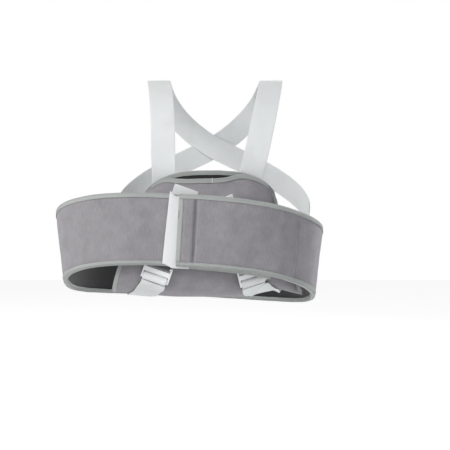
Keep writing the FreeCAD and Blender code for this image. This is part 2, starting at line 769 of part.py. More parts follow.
def tail(buckle, turn, buckle_turn, length, plan_turn):
    """The strap's free end, flat, from behind the adjuster up past the swathe's upper edge."""
    along, up, out = buckle_axes(buckle_turn)
    start = buckle + up * TAIL_START[0] + out * TAIL_START[1]
    a = math.radians(turn)
    p = math.radians(plan_turn)
    across = Vec(math.cos(a) * math.cos(p), math.cos(a) * math.sin(p), -math.sin(a))
    outward = Vec(math.sin(p), -math.cos(p), 0)
    rising = outward.cross(across)
    corner = start - across * (WEB_WIDTH / 2) - outward * (WEB / 2)
    far = corner + across * WEB_WIDTH
    loop = [corner, far, far + rising * length, corner + rising * length]
    face = Part.Face(Part.makePolygon(loop + [corner]))
    return face.extrude(outward * WEB)


def ribbon(stations, first_run):
    """Webbing through stations, each a centre and the way its outer face looks."""
    centres = [centre for centre, face in stations]
    reaches = [0.0]
    for before, after in zip(centres, centres[1:]):
        reaches.append(reaches[-1] + (after - before).Length)
    path = Part.BSplineCurve()
    path.interpolate(Points=centres, Parameters=reaches)
    sections = []
    for i in range(len(stations) - 1):
        count = max(1, round((reaches[i + 1] - reaches[i]) / RIBBON_STEP))
        stops = range(count + 1) if i == len(stations) - 2 else range(count)
        for k in stops:
            share = k / count
            reach = reaches[i] + (reaches[i + 1] - reaches[i]) * share
            face = stations[i][1] * (1.0 - share) + stations[i + 1][1] * share
            centre = path.value(reach)
            run = Vec(*path.tangent(reach)[0]) if reach > 0.0 else first_run
            width = run.cross(face).normalize()
            out = width.cross(run).normalize()
            low = centre - width * (WEB_WIDTH / 2)
            high = centre + width * (WEB_WIDTH / 2)
            lift = out * (WEB / 2)
            sections.append([low + lift, high + lift, high - lift, low - lift])
    return sweep(sections, SLAB_CAP)


def share_at(x, turn):
    """The share of the pouch's width whose slanted line passes x at a turn of the profile."""
    width = POUCH_RIGHT_BOTTOM_X - POUCH_LEFT_BOTTOM_X
    share = (x - POUCH_LEFT_BOTTOM_X) / width
    for _ in range(6):
        share += (x - pouch_front_point(share, turn, 0.0).x) / width
    return share


def front_normal(share, turn):
    """The outward normal of the pouch's front panel."""
    across = pouch_front_point(share + 0.01, turn, 0.0) - pouch_front_point(share - 0.01, turn, 0.0)
    upward = pouch_front_point(share, turn + 0.02, 0.0) - pouch_front_point(share, turn - 0.02, 0.0)
    return across.cross(upward).normalize()


def back_normal(x, z):
    """The normal of the pouch's torso side, pointing at the torso."""
    across = pouch_back_y(x + 1.0, z) - pouch_back_y(x - 1.0, z)
    upward = pouch_back_y(x, z + 1.0) - pouch_back_y(x, z - 1.0)
    return Vec(-across / 2, 1.0, -upward / 2).normalize()


def strap_under_pouch(buckle, turn, slant, front_run):
    """Stations from the adjuster to the pouch's front, round its fold and up behind it.
    slant is how far the strap leans outward from straight down at the fold, in degrees."""
    along, up, out = buckle_axes(turn)
    end = buckle + up * (LOWER_BAR[0] - STRAP_START[0]) + out * STRAP_START[1]
    previous = end - up * STRAP_TURN - out * (0.6 * STRAP_TURN)
    stations = [(end, out), (previous, (out - up).normalize())]
    x = previous.x
    for i, step in enumerate(front_run):
        lean = -turn + (slant + turn) * i / len(front_run)
        here = pouch_front_point(share_at(x, step), step, 0.0)
        x += math.tan(math.radians(lean)) * (here - previous).Length
        share = share_at(x, step)
        normal = front_normal(share, step)
        previous = pouch_front_point(share, step, 0.0)
        stations.append((previous + normal * STRAP_LIFT_OFF, normal))
    slope = math.tan(math.radians(slant))
    x += slope * 2 * POUCH_WALL
    fold = pouch_bottom_z(x)
    back = pouch_back_y(x, fold)
    tilt = (pouch_bottom_z(x + 1.0) - pouch_bottom_z(x - 1.0)) / 2
    stations.append((Vec(x, back - POUCH_WALL / 2, fold - STRAP_FOLD_OFF), Vec(tilt, 0, -1).normalize()))
    x += slope * POUCH_WALL
    rear = fold + 3.0
    normal = back_normal(x, rear)
    landing = Vec(x, pouch_back_y(x, rear), rear) + normal * STRAP_LANDING_OFF
    stations.append((landing, (normal + Vec(0, 0, -0.3)).normalize()))
    for z in REAR_RUN:
        x += slope * (z - fold)
        fold = z
        normal = back_normal(x, z)
        stations.append((Vec(x, pouch_back_y(x, z), z) + normal * STRAP_LANDING_OFF, normal))
    return stations


def shoulder_strap(over, landing, buckle, turn, slant, front_run, crossing_y):
    """The whole strap: from an adjuster under the pouch and round that side, across the back,
    over the other shoulder and down to the pouch's back panel.  over lists the upper run and
    landing how far out the strap lies at each landing height."""
    side = 1.0 if turn < 0 else -1.0
    stations = strap_under_pouch(buckle, turn, slant, front_run)
    first = STRAP_SIDE_ANGLES[0]
    for angle in STRAP_SIDE_ANGLES:
        a = math.radians(angle)
        share = (angle - first) / (90.0 - first)
        centre = Vec(side * TORSO_HALF_WIDTH * math.cos(a), crossing_y * math.sin(a), 0)
        centre.z = STRAP_SIDE_Z + (STRAP_CROSSING_Z - STRAP_SIDE_Z) * share
        face = Vec(-side * math.cos(a) / TORSO_HALF_WIDTH, -math.sin(a) / TORSO_HALF_DEPTH, 0)
        stations.append((centre, face.normalize()))
    for x, y, z, face_y, face_z in over:
        stations.append((Vec(-side * x, y, z), Vec(0, -face_y, -face_z).normalize()))
    for x, z in zip(landing, LANDING_HEIGHTS):
        normal = back_normal(-side * x, z)
        stations.append((Vec(-side * x, pouch_back_y(x, z), z) + normal * STRAP_LANDING_OFF, normal))
    return ribbon(stations, buckle_axes(turn)[1] * -1.0)


def write(nodes):
    os.makedirs("parts", exist_ok=True)
    for name, shape in nodes.items():
        shape.exportStep("parts/" + name + ".step")
        print(name, shape.ShapeType, shape.isValid(), round(shape.Volume / 1000.0, 2), "cm3")


nodes = {}
nodes.update(swathe_nodes())
nodes.update(pouch_nodes())
buckles = [("left", LEFT_BUCKLE, LEFT_BUCKLE_TURN), ("right", RIGHT_BUCKLE, RIGHT_BUCKLE_TURN)]
for side, origin, turn in buckles:
    nodes[side + "_buckle_frame"] = place(buckle_frame(), origin, turn)
    nodes[side + "_buckle_chape"] = place(chape(), origin, turn)
    nodes[side + "_strap_loop"] = place(strap_loop(), origin, turn)
nodes["left_shoulder_strap"] = shoulder_strap(
    LEFT_OVER, LEFT_LANDING, RIGHT_BUCKLE, RIGHT_BUCKLE_TURN, RIGHT_SLANT, RIGHT_FRONT_RUN, LEFT_CROSSING_Y
)
nodes["right_shoulder_strap"] = shoulder_strap(
    RIGHT_OVER, RIGHT_LANDING, LEFT_BUCKLE, LEFT_BUCKLE_TURN, LEFT_SLANT, LEFT_FRONT_RUN, RIGHT_CROSSING_Y
)
nodes["left_strap_tail"] = tail(LEFT_BUCKLE, LEFT_TAIL_TURN, LEFT_BUCKLE_TURN, LEFT_TAIL_LENGTH, 0.0)
nodes["right_strap_tail"] = tail(
    RIGHT_BUCKLE, RIGHT_TAIL_TURN, RIGHT_BUCKLE_TURN, RIGHT_TAIL_LENGTH, RIGHT_TAIL_PLAN_TURN
)
write(nodes)
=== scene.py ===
import math

import bpy
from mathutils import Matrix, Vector, noise


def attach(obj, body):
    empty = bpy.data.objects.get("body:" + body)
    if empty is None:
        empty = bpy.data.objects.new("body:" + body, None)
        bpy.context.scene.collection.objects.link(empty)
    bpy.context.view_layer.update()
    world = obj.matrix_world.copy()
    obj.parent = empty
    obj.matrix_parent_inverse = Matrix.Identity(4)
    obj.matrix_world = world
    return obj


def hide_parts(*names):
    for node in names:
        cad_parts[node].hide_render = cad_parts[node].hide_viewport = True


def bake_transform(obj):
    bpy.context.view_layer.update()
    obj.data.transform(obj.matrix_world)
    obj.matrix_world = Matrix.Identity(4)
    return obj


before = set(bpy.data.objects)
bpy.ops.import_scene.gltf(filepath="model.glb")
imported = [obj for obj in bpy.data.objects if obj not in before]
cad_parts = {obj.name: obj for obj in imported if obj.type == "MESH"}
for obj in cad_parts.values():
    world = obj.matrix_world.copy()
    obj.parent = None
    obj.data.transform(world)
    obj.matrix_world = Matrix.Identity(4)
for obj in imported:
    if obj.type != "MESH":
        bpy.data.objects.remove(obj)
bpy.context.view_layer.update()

# Every shape below is worked out in millimetres and made in metres.
MM = 0.001
Vec = Vector

# ---------------------------------------------------------------- the sling's own sizes

SWATHE_CENTRE = (-45.0, -60.0)
LEFT_REACH, RIGHT_REACH, FRONT_REACH, BACK_REACH = 204.0, 222.5, 145.0, 185.0
FRONT_LEFT_SQUARENESS, FRONT_RIGHT_SQUARENESS, BACK_SQUARENESS = 2.9, 2.4, 2.3
SWATHE_HEIGHT = 108.0
HALF = SWATHE_HEIGHT / 2
LAMINATE, LINING, SKIN_GAP = 5.8, 0.9, 0.08
PAD = LAMINATE + SKIN_GAP + LINING
INNER_DIP, FLAP_RISE, INNER_END_DROP = 4.5, 5.0, 3.5
INNER_END_X, HINGE_X = 100.0, 136.0
FLAP_END_X, FLAP_END_LEAN = -51.0, 3.2
HOOK_START_X, HOOK_END_X, HOOK_LEAN, HOOK_THICKNESS = -69.8, -30.0, 6.7, 0.9
HEM_CREASE = 26.0
TAPE_WIDTH, TAPE_PROUD, TAPE_GAP = 6.5, 0.7, 0.06

POUCH_BOTTOM_Z, POUCH_CORNER_Z, POUCH_TOP_Z = -60.5, 88.0, 136.0
POUCH_LEFT_TOP_X, POUCH_LEFT_BOTTOM_X = -112.0, -163.0
POUCH_RIGHT_TOP_X, POUCH_RIGHT_BOTTOM_X = 104.0, 147.0
POUCH_SPAN = POUCH_RIGHT_BOTTOM_X - POUCH_LEFT_BOTTOM_X
POUCH_PANEL, POUCH_LINING = 3.6, 0.85
POUCH_WALL = POUCH_PANEL + SKIN_GAP + POUCH_LINING
PANEL_GAP = 0.25
TAPE_EASE = 0.7
STRAP_TURN, STRAP_LIFT_OFF, STRAP_LANDING_OFF, STRAP_FOLD_OFF = 4.0, 1.6, 2.8, 2.0
LANDING_HEIGHTS = (136.0, 120.0, 104.0)
CHAPE_LENGTH, CHAPE_WIDTH, CHAPE_CLOTH_THICK = 22.0, 34.4, 1.15
FLAP_BLEND = 30.0
FLOOR_Z = -0.30
MOUTH_DIP_X, MOUTH_DIP_HALF_WIDTH = -14.0, 50.0
EDGE_SHARE = 0.012

WEB_WIDTH, WEB = 38.0, 1.4
BUCKLE_LEAN = 12.0
TOP_BAR_RADIUS = 1.7
TOOTHED_BAR, LOWER_BAR = (-13.5, -5.5), (-24.0, -17.2)
BAR_HALF_THICKNESS = 1.3
BUCKLES = {
    "left": {"at": Vec((-79.7, -187.4, -10.0)), "turn": 19.5, "plan": 0.0},
    "right": {"at": Vec((58.6, -176.8, -14.7)), "turn": -17.0, "plan": 13.0},
}
TAILS = {
    "left": {"turn": 19.5, "plan": 0.0, "length": 122.0},
    "right": {"turn": -23.0, "plan": 10.5, "length": 112.0},
}


def smooth(share):
    t = min(1.0, max(0.0, share))
    return t * t * (3.0 - 2.0 * t)


def spread(start, end, count):
    return [start + (end - start) * i / (count - 1) for i in range(count)]


def cloudy(x, y, size, seed):
    """Smooth noise from -1 to 1 with features of about that size."""
    return noise.noise(Vec((x / size, y / size, seed * 7.3)))


# ---------------------------------------------------------------- swathe surface

def oval(angle):
    across, along = math.cos(math.radians(angle)), math.sin(math.radians(angle))
    reach_x = LEFT_REACH if across < 0 else RIGHT_REACH
    reach_y = FRONT_REACH if along < 0 else BACK_REACH
    power = BACK_SQUARENESS
    if along < 0:
        power = FRONT_LEFT_SQUARENESS if across < 0 else FRONT_RIGHT_SQUARENESS
    radius = (abs(across / reach_x) ** power + abs(along / reach_y) ** power) ** (-1.0 / power)
    return SWATHE_CENTRE[0] + radius * across, SWATHE_CENTRE[1] + radius * along


def oval_front_y(x, inset):
    dx = x - SWATHE_CENTRE[0]
    reach = (LEFT_REACH if dx < 0 else RIGHT_REACH) - inset
    power = FRONT_LEFT_SQUARENESS if dx < 0 else FRONT_RIGHT_SQUARENESS
    share = max(0.0, 1.0 - abs(dx / reach) ** power)
    return SWATHE_CENTRE[1] - (FRONT_REACH - inset) * share ** (1.0 / power)


def front_angle(x):
    return math.degrees(math.atan2(oval_front_y(x, 0.0) - SWATHE_CENTRE[1], x - SWATHE_CENTRE[0]))


def swathe_middle_z(x, y):
    share = max(0.0, (SWATHE_CENTRE[1] + BACK_REACH - y) / (FRONT_REACH + BACK_REACH))
    return -20.0 + 62.0 * share ** 2.2 - 0.045 * x


def swathe_point(angle, height, out):
    x, y = oval(angle)
    ahead, behind = oval(angle + 0.2), oval(angle - 0.2)
    tangent = Vec((ahead[0] - behind[0], ahead[1] - behind[1], 0)).normalized()
    outward = Vec((tangent.y, -tangent.x, 0))
    lean = 1.0 - 0.058 * (0.5 - height / SWATHE_HEIGHT)
    base = Vec((SWATHE_CENTRE[0] + (x - SWATHE_CENTRE[0]) * lean, y, swathe_middle_z(x, y) + height))
    return base + outward * out


HINGE_ANGLE = front_angle(HINGE_X)
ROOT_END = front_angle(INNER_END_X) % 360


def root_point(angle, height, out):
    dip = drop = 0.0
    if angle >= 180.0:
        start, end = front_angle(-134.0) % 360, front_angle(-82.0) % 360
        dip = INNER_DIP * smooth((angle - start) / (end - start))
        last = front_angle(0.0) % 360
        drop = INNER_END_DROP * smooth((angle - end) / (last - end))
    return swathe_point(angle, height - drop, out - dip)


def flap_point(angle, height, out):
    start, end = front_angle(134.0), front_angle(106.0)
    return swathe_point(angle, height, out + FLAP_RISE * smooth((start - angle) / (start - end)))


def flap_at_x(x, height, out):
    return flap_point(front_angle(x), height, out)


def root_at_x(x, height, out):
    return root_point(front_angle(x) % 360, height, out)


# ---------------------------------------------------------------- pouch surface

def pouch_bottom_z(x):
    elbow = 6.0 * smooth((-50.0 - x) / 100.0)
    return POUCH_BOTTOM_Z + elbow + 12.0 * math.exp(-(((x - 98.0) / 34.0) ** 2))


def pouch_x(share, z):
    rise = (z - POUCH_BOTTOM_Z) / (POUCH_CORNER_Z - POUCH_BOTTOM_Z)
    left = POUCH_LEFT_BOTTOM_X + (POUCH_LEFT_TOP_X - POUCH_LEFT_BOTTOM_X) * rise
    right = POUCH_RIGHT_BOTTOM_X + (POUCH_RIGHT_TOP_X - POUCH_RIGHT_BOTTOM_X) * rise
    return left + (right - left) * share


def back_top_z(share):
    across = abs(2.0 * share - 1.0)
    return POUCH_CORNER_Z + (POUCH_TOP_Z - POUCH_CORNER_Z) * max(0.0, 1.0 - across ** 2.7) ** (1.0 / 2.7)


def mouth_open(x):
    return math.exp(-(((x - MOUTH_DIP_X) / MOUTH_DIP_HALF_WIDTH) ** 4))


def front_top_z(share):
    top = back_top_z(share)
    return top - 1.0 - 12.0 * mouth_open(pouch_x(share, top))


def pouch_back_y(x, z):
    share = max(0.0, (z - POUCH_BOTTOM_Z) / (POUCH_TOP_Z - POUCH_BOTTOM_Z))
    return -112.0 + 0.0012 * x * x - 24.0 * share ** 2


def pouch_cavity(x, z, share):
    whole = max(0.0, pouch_back_y(x, z) - 2 * POUCH_WALL - oval_front_y(x, 24.0))
    return whole * max(0.0, 1.0 - share ** 5) ** 0.7


def pouch_bulge(turn, cavity, x):
    gap = 2.4 + 5.6 * mouth_open(x)
    least = min(1.0, gap / max(cavity, gap))
    if turn <= 1.0:
        return math.sin(math.radians(90.0 * turn))
    if turn <= 2.0:
        return 1.0
    return least + (1.0 - least) * (0.5 + 0.5 * math.cos(math.pi * (turn - 2.0))) ** 1.1


def pouch_front_point(share, turn, depth):
    bottom = pouch_bottom_z(pouch_x(share, POUCH_BOTTOM_Z)) + depth
    top = front_top_z(share)
    rounding = -12.0
    knee = rounding + (top - rounding) * 0.70
    if turn <= 1.0:
        z = rounding - (rounding - bottom) * math.cos(math.radians(90.0 * turn))
    elif turn <= 2.0:
        z = rounding + (knee - rounding) * (turn - 1.0)
    else:
        z = knee + (top - knee) * (turn - 2.0)
    x = pouch_x(share, z)
    cavity = pouch_cavity(x, z, share)
    bulge = pouch_bulge(turn, cavity, x)
    wall = (POUCH_WALL - depth) * (bulge if turn <= 1.0 else 1.0)
    return Vec((x, pouch_back_y(x, z) - POUCH_WALL - PANEL_GAP - bulge * cavity - wall, z))


def back_panel_point(share, height, depth):
    bottom = pouch_bottom_z(pouch_x(share, POUCH_BOTTOM_Z))
    z = bottom + (back_top_z(share) - bottom) * height
    x = pouch_x(share, z)
    return Vec((x, pouch_back_y(x, z) - depth, z))


def front_face(share, z, depth):
    """A point on the front panel near its mouth edge, at height z, along the panel's curve."""
    below = pouch_front_point(share, 3.0, 0.0)
    for turn in spread(2.95, 2.0, 20):
        above, below = below, pouch_front_point(share, turn, 0.0)
        if below.z <= z:
            break
    slope = (above.y - below.y) / (above.z - below.z)
    return Vec((pouch_x(share, z), below.y + slope * (z - below.z) + depth, z))


def back_face(share, z, depth):
    x = pouch_x(share, z)
    return Vec((x, pouch_back_y(x, z) - POUCH_WALL + depth, z))


# ---------------------------------------------------------------- materials

def node_tree(name):
    material = bpy.data.materials.new(name)
    material.use_nodes = True
    tree = material.node_tree
    return material, tree, tree.nodes["Principled BSDF"]


def add_node(tree, kind, **values):
    node = tree.nodes.new(kind)
    for key, value in values.items():
        if key in node.inputs:
            node.inputs[key].default_value = value
        else:
            setattr(node, key, value)
    return node


def maths(tree, operation, a, b=None):
    node = tree.nodes.new("ShaderNodeMath")
    node.operation = operation
    for i, value in enumerate((a, b)):
        if value is None:
            continue
        if isinstance(value, (int, float)):
            node.inputs[i].default_value = value
        else:
            tree.links.new(value, node.inputs[i])
    return node.outputs[0]


def mix_colour(tree, factor, a, b):
    node = tree.nodes.new("ShaderNodeMix")
    node.data_type = "RGBA"
    tree.links.new(factor, node.inputs[0])
    for socket, value in ((node.inputs[6], a), (node.inputs[7], b)):
        if isinstance(value, tuple):
            socket.default_value = (*value, 1.0)
        else:
            tree.links.new(value, socket)
    return node.outputs[2]


def noise_at(tree, coordinates, scale, detail=3.0, stretch=(1.0, 1.0, 1.0)):
    mapping = add_node(tree, "ShaderNodeMapping")
    mapping.inputs["Scale"].default_value = stretch
    tree.links.new(coordinates, mapping.inputs[0])
    node = add_node(tree, "ShaderNodeTexNoise", Scale=scale, Detail=detail)
    tree.links.new(mapping.outputs[0], node.inputs["Vector"])
    return node.outputs[0]


def bump_into(tree, shader, height, distance, strength=1.0):
    bump = add_node(tree, "ShaderNodeBump", Distance=distance, Strength=strength)
    tree.links.new(height, bump.inputs["Height"])
    tree.links.new(bump.outputs[0], shader.inputs["Normal"])


def thread_coordinates(tree):
    """The piece's own UV in millimetres: across the cloth and along it."""
    uv = add_node(tree, "ShaderNodeUVMap")
    split = add_node(tree, "ShaderNodeSeparateXYZ")
    tree.links.new(uv.outputs[0], split.inputs[0])
    return uv.outputs[0], split.outputs[0], split.outputs[1]


def object_mm(tree):
    """Position on the piece in millimetres."""
    place = add_node(tree, "ShaderNodeTexCoord")
    scale = add_node(tree, "ShaderNodeVectorMath", operation="SCALE")
    scale.inputs["Scale"].default_value = 1000.0
    tree.links.new(place.outputs["Object"], scale.inputs[0])
    return scale.outputs[0]


def ridges(tree, value, pitch):
    """0 to 1 and back once in each pitch."""
    turn = maths(tree, "MULTIPLY", value, 2.0 * math.pi / pitch)
    return maths(tree, "MULTIPLY_ADD", maths(tree, "SINE", turn), 0.5)


def brushed_laminate(name, dark, light):
    """Loop fabric bonded to foam: a soft nap in fine upright streaks, with a faint knit under it."""
    material, tree, shader = node_tree(name)
    uv, across, along = thread_coordinates(tree)
    place = object_mm(tree)
    blotch = noise_at(tree, place, 0.045, 4.0)
    streak = noise_at(tree, uv, 0.55, 5.0, (0.16, 1.6, 1.0))
    fuzz = noise_at(tree, place, 1.7, 6.0)
    tone = maths(tree, "ADD", maths(tree, "MULTIPLY", blotch, 0.30), maths(tree, "MULTIPLY", streak, 0.30))
    tone = maths(tree, "ADD", tone, maths(tree, "MULTIPLY", fuzz, 0.50))
    ramp = add_node(tree, "ShaderNodeValToRGB")
    ramp.color_ramp.elements[0].position = 0.38
    ramp.color_ramp.elements[0].color = (*dark, 1.0)
    ramp.color_ramp.elements[1].position = 0.70
    ramp.color_ramp.elements[1].color = (*light, 1.0)
    tree.links.new(tone, ramp.inputs[0])
    tree.links.new(ramp.outputs[0], shader.inputs["Base Color"])
    knit = maths(tree, "MULTIPLY", ridges(tree, across, 1.3), ridges(tree, along, 1.1))
    relief = maths(tree, "ADD", maths(tree, "MULTIPLY", knit, 0.25), maths(tree, "MULTIPLY", streak, 0.5))
    relief = maths(tree, "ADD", relief, maths(tree, "MULTIPLY", fuzz, 0.8))
    bump_into(tree, shader, relief, 0.0006, 0.7)
    shader.inputs["Roughness"].default_value = 0.94
    shader.inputs["Specular IOR Level"].default_value = 0.2
    shader.inputs["Sheen Weight"].default_value = 0.45
    shader.inputs["Sheen Roughness"].default_value = 0.45
    shader.inputs["Sheen Tint"].default_value = (0.86, 0.84, 0.9, 1.0)
    return material


def ribbed_tape(name, dark, light, pitch):
    """Narrow woven tape with ribs across it."""
    material, tree, shader = node_tree(name)
    uv, _, along = thread_coordinates(tree)
    rib = ridges(tree, along, pitch)
    fine = noise_at(tree, uv, 1.1, 4.0, (2.4, 0.5, 1.0))
    wear = noise_at(tree, object_mm(tree), 0.03, 3.0)
    tone = maths(tree, "ADD", maths(tree, "MULTIPLY", rib, 0.4), maths(tree, "MULTIPLY", fine, 0.5))
    tone = maths(tree, "ADD", tone, maths(tree, "MULTIPLY", wear, 0.35))
    tree.links.new(mix_colour(tree, tone, dark, light), shader.inputs["Base Color"])
    bump_into(tree, shader, maths(tree, "ADD", rib, maths(tree, "MULTIPLY", fine, 0.6)), 0.00025, 0.8)
    shader.inputs["Roughness"].default_value = 0.78
    shader.inputs["Sheen Weight"].default_value = 0.25
    return material


def webbing(name, dark, light, soil):
    """Flat woven webbing: chevron rows along it and a little soiling."""
    material, tree, shader = node_tree(name)
    uv, across, along = thread_coordinates(tree)
    column = maths(tree, "PINGPONG", across, 2.4)
    twill = ridges(tree, maths(tree, "ADD", along, maths(tree, "MULTIPLY", column, 0.9)), 1.5)
    warp = ridges(tree, across, 0.8)
    thread = maths(tree, "MULTIPLY", maths(tree, "ADD", twill, 0.35), maths(tree, "ADD", warp, 0.6))
    fine = noise_at(tree, uv, 1.6, 4.0)
    stain = noise_at(tree, object_mm(tree), 0.035, 4.0)
    tone = maths(tree, "ADD", maths(tree, "MULTIPLY", thread, 0.42), maths(tree, "MULTIPLY", fine, 0.42))
    woven = mix_colour(tree, tone, dark, light)
    shade = maths(tree, "MULTIPLY", maths(tree, "SUBTRACT", stain, 0.5), 0.9)
    tree.links.new(mix_colour(tree, shade, woven, soil), shader.inputs["Base Color"])
    bump_into(tree, shader, maths(tree, "ADD", thread, maths(tree, "MULTIPLY", fine, 0.3)), 0.00035, 0.7)
    shader.inputs["Roughness"].default_value = 0.66
    shader.inputs["Sheen Weight"].default_value = 0.2
    return material


def knit_lining(name, dark, light):
    """Smooth knit with fine wales."""
    material, tree, shader = node_tree(name)
    _, across, along = thread_coordinates(tree)
    wale = ridges(tree, across, 1.2)
    course = ridges(tree, maths(tree, "ADD", along, maths(tree, "MULTIPLY", wale, 0.5)), 1.0)
    fine = noise_at(tree, object_mm(tree), 0.9, 4.0)
    tone = maths(tree, "ADD", maths(tree, "MULTIPLY", course, 0.5), maths(tree, "MULTIPLY", fine, 0.5))
    tree.links.new(mix_colour(tree, tone, dark, light), shader.inputs["Base Color"])
    bump_into(tree, shader, maths(tree, "ADD", wale, course), 0.00025, 0.7)
    shader.inputs["Roughness"].default_value = 0.9
    shader.inputs["Sheen Weight"].default_value = 0.3
    return material


def hook_tape(name, dark, light):
    """Hook fastener: a plain backing with rows of tiny hooks."""
    material, tree, shader = node_tree(name)
    uv, across, along = thread_coordinates(tree)
    dots = maths(tree, "MULTIPLY", ridges(tree, across, 1.5), ridges(tree, along, 1.5))
    fine = noise_at(tree, uv, 2.0, 3.0)
    tone = maths(tree, "ADD", maths(tree, "MULTIPLY", dots, 0.8), maths(tree, "MULTIPLY", fine, 0.3))
    tree.links.new(mix_colour(tree, tone, dark, light), shader.inputs["Base Color"])
    bump_into(tree, shader, dots, 0.0005, 0.9)
    shader.inputs["Roughness"].default_value = 0.5
    return material


def satin_plastic(name, low, high):
    """Moulded plastic with a fine spark-eroded grain and faint handling marks."""
    material, tree, shader = node_tree(name)
    place = object_mm(tree)
    grain = noise_at(tree, place, 2.2, 5.0)
    marks = noise_at(tree, place, 0.12, 4.0)
    tree.links.new(mix_colour(tree, marks, low, high), shader.inputs["Base Color"])
    rough = maths(tree, "ADD", maths(tree, "MULTIPLY", marks, 0.2), 0.26)
    tree.links.new(rough, shader.inputs["Roughness"])
    bump_into(tree, shader, grain, 0.00006, 0.6)
    return material


GREY = brushed_laminate("grey_laminate", (0.195, 0.188, 0.202), (0.335, 0.324, 0.346))
BLACK = knit_lining("black_lining", (0.008, 0.008, 0.010), (0.035, 0.035, 0.040))
TAPE = ribbed_tape("binding_tape", (0.25, 0.27, 0.265), (0.45, 0.475, 0.465), 0.9)
WHITE_WEB = webbing("white_webbing", (0.62, 0.66, 0.68), (0.93, 0.95, 0.95), (0.60, 0.60, 0.58))
HOOKS = hook_tape("hook_tape", (0.72, 0.74, 0.76), (0.93, 0.94, 0.95))
PLASTIC = satin_plastic("white_plastic", (0.74, 0.76, 0.77), (0.86, 0.88, 0.89))
THREAD = ribbed_tape("sewing_thread", (0.30, 0.31, 0.31), (0.50, 0.51, 0.51), 0.4)
WHITE_THREAD = ribbed_tape("white_thread", (0.70, 0.71, 0.71), (0.92, 0.92, 0.92), 0.4)
# The chape tabs are grey cloth coloured near-black here: painted shade for the dark band below the swathe's
# edge.
CHAPE_PAINTED_SHADE = ribbed_tape("chape_painted_shade", (0.035, 0.035, 0.040), (0.11, 0.11, 0.12), 1.3)


# ---------------------------------------------------------------- mesh makers

def finish_piece(name, points, faces, uvs, material, smooth_shading=True):
    mesh = bpy.data.meshes.new(name)
    mesh.from_pydata([tuple(p * MM) for p in points], [], faces)
    layer = mesh.uv_layers.new(name="threads")
    for polygon in mesh.polygons:
        polygon.use_smooth = smooth_shading
        for loop in polygon.loop_indices:
            layer.data[loop].uv = uvs[mesh.loops[loop].vertex_index]
    mesh.materials.append(material)
    mesh.validate()
    piece = bpy.data.objects.new(name, mesh)
    bpy.context.scene.collection.objects.link(piece)
    return piece


def loft(name, loops, material):
    """A closed piece through closed loops of points.  Its UV is millimetres round and along."""
    count = len(loops[0])
    middle = loops[len(loops) // 2]
    round_mm = [0.0]
    for a, b in zip(middle, middle[1:]):
        round_mm.append(round_mm[-1] + (b - a).length)
    points, uvs, faces = [], [], []
    along = 0.0
    for i, loop in enumerate(loops):
        if i:
            along += sum((a - b).length for a, b in zip(loop[::6], loops[i - 1][::6])) / len(loop[::6])
        points.extend(loop)
        uvs.extend((round_mm[k], along) for k in range(count))
    for i in range(len(loops) - 1):
        for k in range(count):
            n = (k + 1) % count
            faces.append((i * count + k, i * count + n, (i + 1) * count + n, (i + 1) * count + k))
    faces.append(tuple(reversed(range(count))))
    last = (len(loops) - 1) * count
    faces.append(tuple(last + k for k in range(count)))
    piece = finish_piece(name, points, faces, uvs, material)
    mesh = piece.data
    if sum(p.area * p.normal.dot(p.center - Vec(mesh.vertices[0].co)) for p in mesh.polygons) < 0:
        mesh.flip_normals()
    return piece


def slab_profile(half_height, outer, inner, outer_pinch, inner_pinch, count=34):
    """A pad's edge-on outline as (height, out): its faces move by the pinches towards its edges."""
    faces = []
    for side, face, pinch in ((1, outer, outer_pinch), (-1, inner, inner_pinch)):
        row = []
        for i in range(count):
            height = -half_height * math.cos(math.pi * i / (count - 1))
            edge = math.exp(-(((half_height - abs(height)) / 6.0) ** 2))
            row.append((height * side, face + pinch * edge))
        faces.extend(row)
    return faces


def tape_profile(wall, width=TAPE_WIDTH, proud=TAPE_PROUD, pinch=0.0):
    """A folded tape's outline as (out past the edge, depth from the outer face)."""
    outer = []
    for i in range(9):
        e = -width + width * i / 8
        outer.append((e, -proud + pinch * smooth(1.0 + e / width)))
    deep = wall + proud - pinch
    low = -proud + pinch
    for i in range(1, 8):
        a = math.pi * i / 8
        outer.append((proud * math.sin(a) + 0.1, low + (deep - low) * (0.5 - 0.5 * math.cos(a))))
    for i in range(9):
        e = -width * i / 8
        outer.append((e, wall + proud - pinch * smooth(1.0 + e / width)))
    inside = [(-width, wall + TAPE_GAP), (-0.1, wall + TAPE_GAP), (-0.1, -TAPE_GAP), (-width, -TAPE_GAP)]
    return outer + inside


# A stitch's rings: place along it, share of its radius, and how far it stands above the cloth.
STITCH_RINGS = ((-0.5, 0.35, -0.25), (-0.25, 1.0, 0.05), (0.25, 1.0, 0.05), (0.5, 0.35, -0.25))


def stitch_row(path, pitch=3.3, length=2.5, radius=0.26):
    """Spindles laid end to end along a path of (position, outward) pairs."""
    reach, marks = 0.0, []
    for (a, na), (b, nb) in zip(path, path[1:]):
        step = (b - a).length
        while step > 1e-6 and len(marks) * pitch <= reach + step:
            t = (len(marks) * pitch - reach) / step
            marks.append((a.lerp(b, t), (b - a).normalized(), na.lerp(nb, t).normalized()))
        reach += step
    spindles = []
    for centre, run, face in marks:
        side = run.cross(face).normalized()
        rings = []
        for shift, swell, sink in STITCH_RINGS:
            middle = centre + run * (shift * length) + face * sink
            rings.append([
                middle + (side * math.cos(a) + face * math.sin(a)) * (radius * swell)
                for a in (math.pi * k / 3 for k in range(6))
            ])
        spindles.append(rings)
    return spindles


